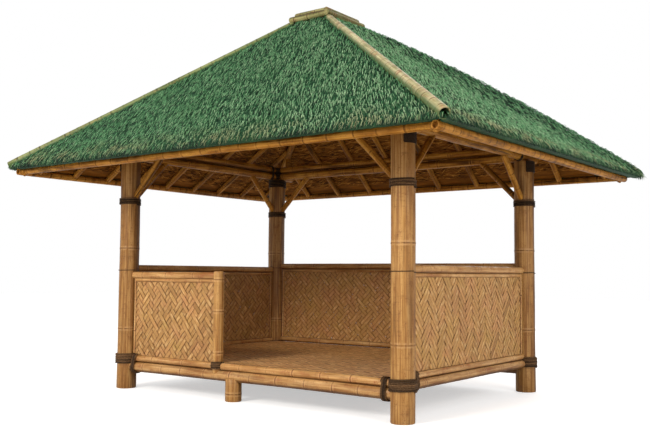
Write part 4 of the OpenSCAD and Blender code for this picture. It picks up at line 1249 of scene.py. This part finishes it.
def fringeStraws(wall, rng):  # straws that turn over the rounded nose and end above the eave pole
    values = thatchSet["fringe"]
    origin, across, down, _ = slopeArrays(wall)
    edge = thatchOutline(wall)[0]
    flat = np.cross(across, (0, 0, 1))
    flat *= np.sign(flat @ down)
    slope, radius = slopePitch(wall), thatchSet["nose"]
    nose = origin - flat * radius + np.array((0, 0, radius * math.tan(slope) - radius / math.cos(slope)))
    number = int(2 * edge / values["step"])
    side = rng.uniform(-edge + 0.02, edge - 0.02, number)
    angle = np.radians(rng.uniform(*values["angle"], number))[:, None]
    ray = flat * np.cos(angle) + np.array((0, 0, 1)) * np.sin(angle)
    knees = nose + across * side[:, None] + ray * (radius + rng.uniform(-0.002, 0.012, number)[:, None])
    stray = across * rng.normal(0, values["stray"], number)[:, None]
    turn = flat * np.sin(angle) - np.array((0, 0, 1)) * np.cos(angle)
    heading = turn * 0.75 + np.array((0, 0, -0.4)) + stray
    heading /= np.linalg.norm(heading, axis=1)[:, None]
    lengths = rng.uniform(*values["length"], number)
    corner = np.clip((np.abs(side) - edge + 0.14) / 0.1, 0, 1) * (side * np.sign(across[0] + across[1]) > 0)
    if wall == "front":
        corner = corner * 0
    low = values["low"] + (values["corner"] - values["low"]) * corner
    room = (knees[:, 2] - low - rng.uniform(0, 0.008, number)) / np.maximum(-heading[:, 2], 0.2)
    lengths = np.clip(np.minimum(lengths * (1 + corner), room), 0.008, None)[:, None]
    roots = knees - turn * 0.02 - ray * 0.012
    points = knees + heading * lengths
    # straws turned down under the nose are painted darker and those turned up are more often light: painted
    # shade and light
    litShare = np.clip((np.degrees(angle[:, 0]) + 5) / 45, 0, 1)
    bright = rng.uniform(0, 1, number) < 0.03 + 0.5 * litShare
    tones = np.where(bright, rng.normal(0.95, 0.15, number), rng.normal(0.0, 0.12, number))
    tones = tones - 0.55 * (1 - litShare)
    # drift is the slope's painted shade from end to end
    tones = np.clip(tones + endToEnd(wall, side, "drift") * 0.6, -0.8, 1.2)
    return copyStraws(f"thatch{wall.title()}Fringe", wall, roots, knees, points, ray + stray,
                      rng.uniform(*values["width"], number), tones, np.ones(number))


def underStraws(wall, rng):  # the loose brown courses seen from inside
    values = thatchSet["under"]
    origin, across, down, normal = slopeArrays(wall)
    edge, _, length = thatchOutline(wall)
    up, side = scatterOnSlope(wall, rng, values["rowStep"], values["sideStep"])
    keep = (up > values["eaveGap"]) & (up < length - values["crownGap"])
    keep &= np.abs(side) < edge * (1 - up / length * 0.93) - values["hipGap"]
    up, side = up[keep], side[keep]
    number = len(up)
    stray = down * rng.normal(0, values["stray"], number)[:, None]
    lengths = rng.uniform(*values["length"], number)[:, None]
    knees = origin + across * side[:, None] - down * up[:, None]
    knees = knees - normal * (plan["thatch"] + rng.uniform(0.002, 0.009, number)[:, None])
    heading = across + stray
    heading /= np.linalg.norm(heading, axis=1)[:, None]
    roots = knees - heading * lengths * 0.45 + normal * 0.006
    points = knees + heading * lengths * 0.5 - normal * rng.uniform(-0.006, 0.004, number)[:, None]
    tones = np.clip(rng.normal(0.5, 0.36, number), 0, 1)
    return copyStraws(f"thatch{wall.title()}Underside", wall, roots, knees, points, -normal + stray * 0.3,
                      rng.uniform(*values["width"], number), tones, np.full(number, 0.001), swells=False)


def paintUnderside(obj, wall):  # the underside shows brown straw courses
    origin, _, down, normal = slopeFrame(wall)
    obj.data.materials.append(thatchUnder)
    for poly in obj.data.polygons:
        if poly.normal.dot(normal) < -0.6 and (poly.center - origin).dot(down) < -0.058:
            poly.material_index = 1


for wall in wallTurn:
    rng = np.random.default_rng(thatchSet["seed"] + wallTurn[wall])
    bed = thatchBed(wall)
    finishPiece(bed, thatchGreen, [f"thatch_{wall}"])
    bed.name = bed.data.name = f"thatch{wall.title()}Bed"
    paintUnderside(bed, wall)
    finishPiece(slopeStraws(wall, rng), thatchGreen)
    finishPiece(fringeStraws(wall, rng), thatchGreen)
    finishPiece(underStraws(wall, rng), thatchUnder)
print("thatch is made")

# lashings, each winding one unbroken tube
cordSet = {
    "thick": 0.0085, "sides": 3, "segments": 28, "wobble": 0.0007, "waver": 0.0008, "pack": 1.1,
    "foot": {"gap": 0.003, "low": 0.2185, "high": 0.3215, "thick": 0.0125},
    "newel": {"gap": 0.005, "low": 0.2465, "high": 0.3175, "thick": 0.0085},
    "brace": {"gap": 0.0005, "low": 1.689, "high": 1.759, "thick": 0.0105},
    # the head cords are painted near black: dark cord, with painted shade under the roof
    "head": {"gap": 0.001, "low": 2.03, "high": 2.121, "thick": 0.0095, "shade": 0.2},
    "neck": {"r": 0.066, "low": 2.123, "high": 2.262, "thick": 0.0095, "shade": 0.2},
    "tie": {"gap": -0.0005, "drop": 0.02, "half": 0.0075, "thick": 0.007},
    "wrap": {"turns": 6, "thick": 0.0085, "gap": 0.022, "off": 0.006, "pack": 1.03, "steps": 12},
    "patch": {"gap": 0.001, "thick": 0.0095, "rows": 13, "low": 2.016, "rise": 0.833, "spread": 54,
              "steps": 12, "bulge": 1.02, "shade": 0.2},
    "strap": {"gap": 0.013, "off": 0.0015, "thick": 0.0092, "turns": 4, "lines": 24, "pack": 0.97,
              "shade": 0.25},
}


def makeWinding(points, thick, shade=1.0):
    curve = bpy.data.curves.new("winding", "CURVE")
    curve.dimensions = "3D"
    curve.bevel_depth = thick / 2
    curve.bevel_resolution = cordSet["sides"]
    curve.use_fill_caps = True
    line = curve.splines.new("POLY")
    line.points.add(len(points) - 1)
    for point, place in zip(line.points, points):
        point.co = (*place, 1)
    obj = bpy.data.objects.new("winding", curve)
    bpy.context.collection.objects.link(obj)
    makeActive(obj)
    bpy.ops.object.convert(target="MESH")
    obj = bpy.context.object
    obj.data.shade_smooth()
    corners = 4 + 2 * cordSet["sides"]
    turn = np.arange(len(obj.data.vertices)) // corners / cordSet["segments"]
    shades = np.random.default_rng(random.randrange(10 ** 6)).uniform(0.0, shade, int(turn.max()) + 2)
    low = turn.astype(int)
    setPointValue(obj.data, "tone", shades[low] + (shades[low + 1] - shades[low]) * (turn - low))
    return obj


def makeBand(center, radius, low, high, thick, shade=1.0):
    segments = cordSet["segments"]
    turns = max(1, round((high - low - thick) / (thick * cordSet["pack"])))
    rise = (high - low - thick) / turns
    points = []
    for k in range(turns * segments + 1):
        angle = 2 * math.pi * k / segments
        height = low + thick / 2 + rise * k / segments + cordSet["waver"] * math.sin(angle * 2.3 + low * 40)
        r = radius + thick / 2 + cordSet["wobble"] * math.sin(angle * 1.7 + low * 90)
        points.append(Vector((center[0] + r * math.cos(angle), center[1] + r * math.sin(angle), height)))
    return makeWinding(points, thick, shade)


def bandFor(kind, center, radius):
    values = cordSet[kind]
    return makeBand(center, radius + values["gap"], values["low"], values["high"], values["thick"],
                    values.get("shade", 1.0))


def postCenter(sideX, sideY):
    return sideX * plan["postX"], sideY * plan["postY"]


def finishCords(name, cords, nodes=()):
    finishPiece(joinPieces(cords, name), rattanCord, nodes)


def makeWraps(wall, side):  # a cord wound round two poles at once, one above the other
    values = cordSet["wrap"]
    low, up = ("frontPole", "edge") if wall in longWalls else ("sidePole", "sideFoot")
    lean = math.asin((plan[low + "R"] - plan[up + "R"]) / (plan[up + "Z"] - plan[low + "Z"]))
    ring = []
    for key, first, way in ((low, 180, -1), (up, 0, 1)):
        r, middle = plan[key + "R"], plan[key + "Z"]
        grow = (r + values["off"] + values["thick"] / 2) / r
        for k in range(values["steps"] + 1):
            share = k / values["steps"]
            angle = math.radians(first + 180 * share) + way * lean * (1 - 2 * share)
            ring.append((r * math.cos(angle) * grow, middle + r * math.sin(angle) * grow))
    points = []
    for turn in range(values["turns"]):
        for k, (across, z) in enumerate(ring):
            step = plan["postR"] + values["gap"] + values["thick"] * values["pack"] * (turn + k / len(ring))
            points.append(atWall(wall, side * (wallHalf(wall) - step), across, z))
    return makeWinding(points, values["thick"])


cords = [bandFor("foot", postCenter(*corner), plan["postR"]) for corner in fourCorners]
cords += [makeWraps(wall, side) for wall, side in (("front", -1), ("front", 1), ("right", -1))]
cords.append(bandFor("newel", (plan["newelX"], -plan["postY"]), plan["newelR"]))
finishCords("baseCordWindings", cords, ["base_lashings"])
cords = [bandFor("brace", postCenter(*corner), plan["postR"]) for corner in fourCorners]
finishCords("braceCordWindings", cords, ["brace_lashings"])

tieSet = cordSet["tie"]  # thin double ties round each post beside the top rails
cords = []
for sideX, sideY in fourCorners:
    tieZ = plan["railZ"]["right" if sideY < 0 or sideX > 0 else "back"] - tieSet["drop"]
    cords.append(makeBand(postCenter(sideX, sideY), plan["postR"] + tieSet["gap"], tieZ - tieSet["half"],
                          tieZ + tieSet["half"], tieSet["thick"]))
finishCords("railTies", cords)


def headPatch(sideX, sideY):  # cords drawn to and fro over the outer side of a post's head
    values = cordSet["patch"]
    center = Vector((*postCenter(sideX, sideY), 0))
    r = plan["postR"] + values["gap"] + values["thick"] / 2
    points = []
    for row in range(values["rows"]):
        height = values["low"] + values["thick"] * values["rise"] * row
        for k in range(values["steps"] + 1):
            share = k / values["steps"] if row % 2 == 0 else 1 - k / values["steps"]
            angle = math.radians(values["spread"]) * (2 * share - 1)
            out = r * (values["bulge"] if k in (0, values["steps"]) else 1.0)
            points.append(center + Vector((sideX * out * math.cos(angle), out * math.sin(angle), height)))
    return makeWinding(points, values["thick"], values["shade"])


def headStrap(sideX, sideY):  # a cord wound round both plates beside a post
    values = cordSet["strap"]
    r = plan["plateLowR"] + values["off"] + values["thick"] / 2
    strapIn = plan["postR"] + values["gap"]
    points = []
    for turn in range(values["turns"]):
        for k in range(values["lines"]):
            angle = 2 * math.pi * k / values["lines"]
            x = sideX * plan["postX"] + r * math.cos(angle)
            along = values["thick"] * values["pack"] * (turn + k / values["lines"])
            y = plan["postY"] - strapIn - values["thick"] / 2 - along
            z = plan["plateUpZ"] if math.sin(angle) >= 0 else plan["plateLowZ"]
            points.append(Vector((x, sideY * y, z + r * math.sin(angle))))
    return makeWinding(points, values["thick"], values["shade"])


cords = []
for sideX, sideY in fourCorners:
    if sideX < 0 and sideY > 0:
        neck = cordSet["neck"]
        cords.append(bandFor("head", postCenter(sideX, sideY), plan["postR"]))
        cords.append(makeBand(postCenter(sideX, sideY), neck["r"], neck["low"], neck["high"], neck["thick"],
                              neck["shade"]))
    else:
        cords.append(headPatch(sideX, sideY))
    cords.append(headStrap(sideX, sideY))
finishCords("headCordWindings", cords, ["head_lashings"])
print("lashings are made")

# plain floor
deselectAll()
bpy.ops.mesh.primitive_plane_add(size=60, location=(0, 0, -0.001))
ground = bpy.context.object
ground.name = "studioFloor"
groundMat, groundTree, groundShader = newMaterial("studioFloorPaint")
groundShader.inputs["Base Color"].default_value = (0.8, 0.8, 0.8, 1)
groundShader.inputs["Roughness"].default_value = 0.9
groundShader.inputs["Emission Color"].default_value = (1, 1, 1, 1)
seen = times(groundTree, addNode(groundTree, "ShaderNodeLightPath").outputs["Is Camera Ray"], 0.5)
groundTree.links.new(seen, groundShader.inputs["Emission Strength"])
ground.data.materials.append(groundMat)

deselectAll()
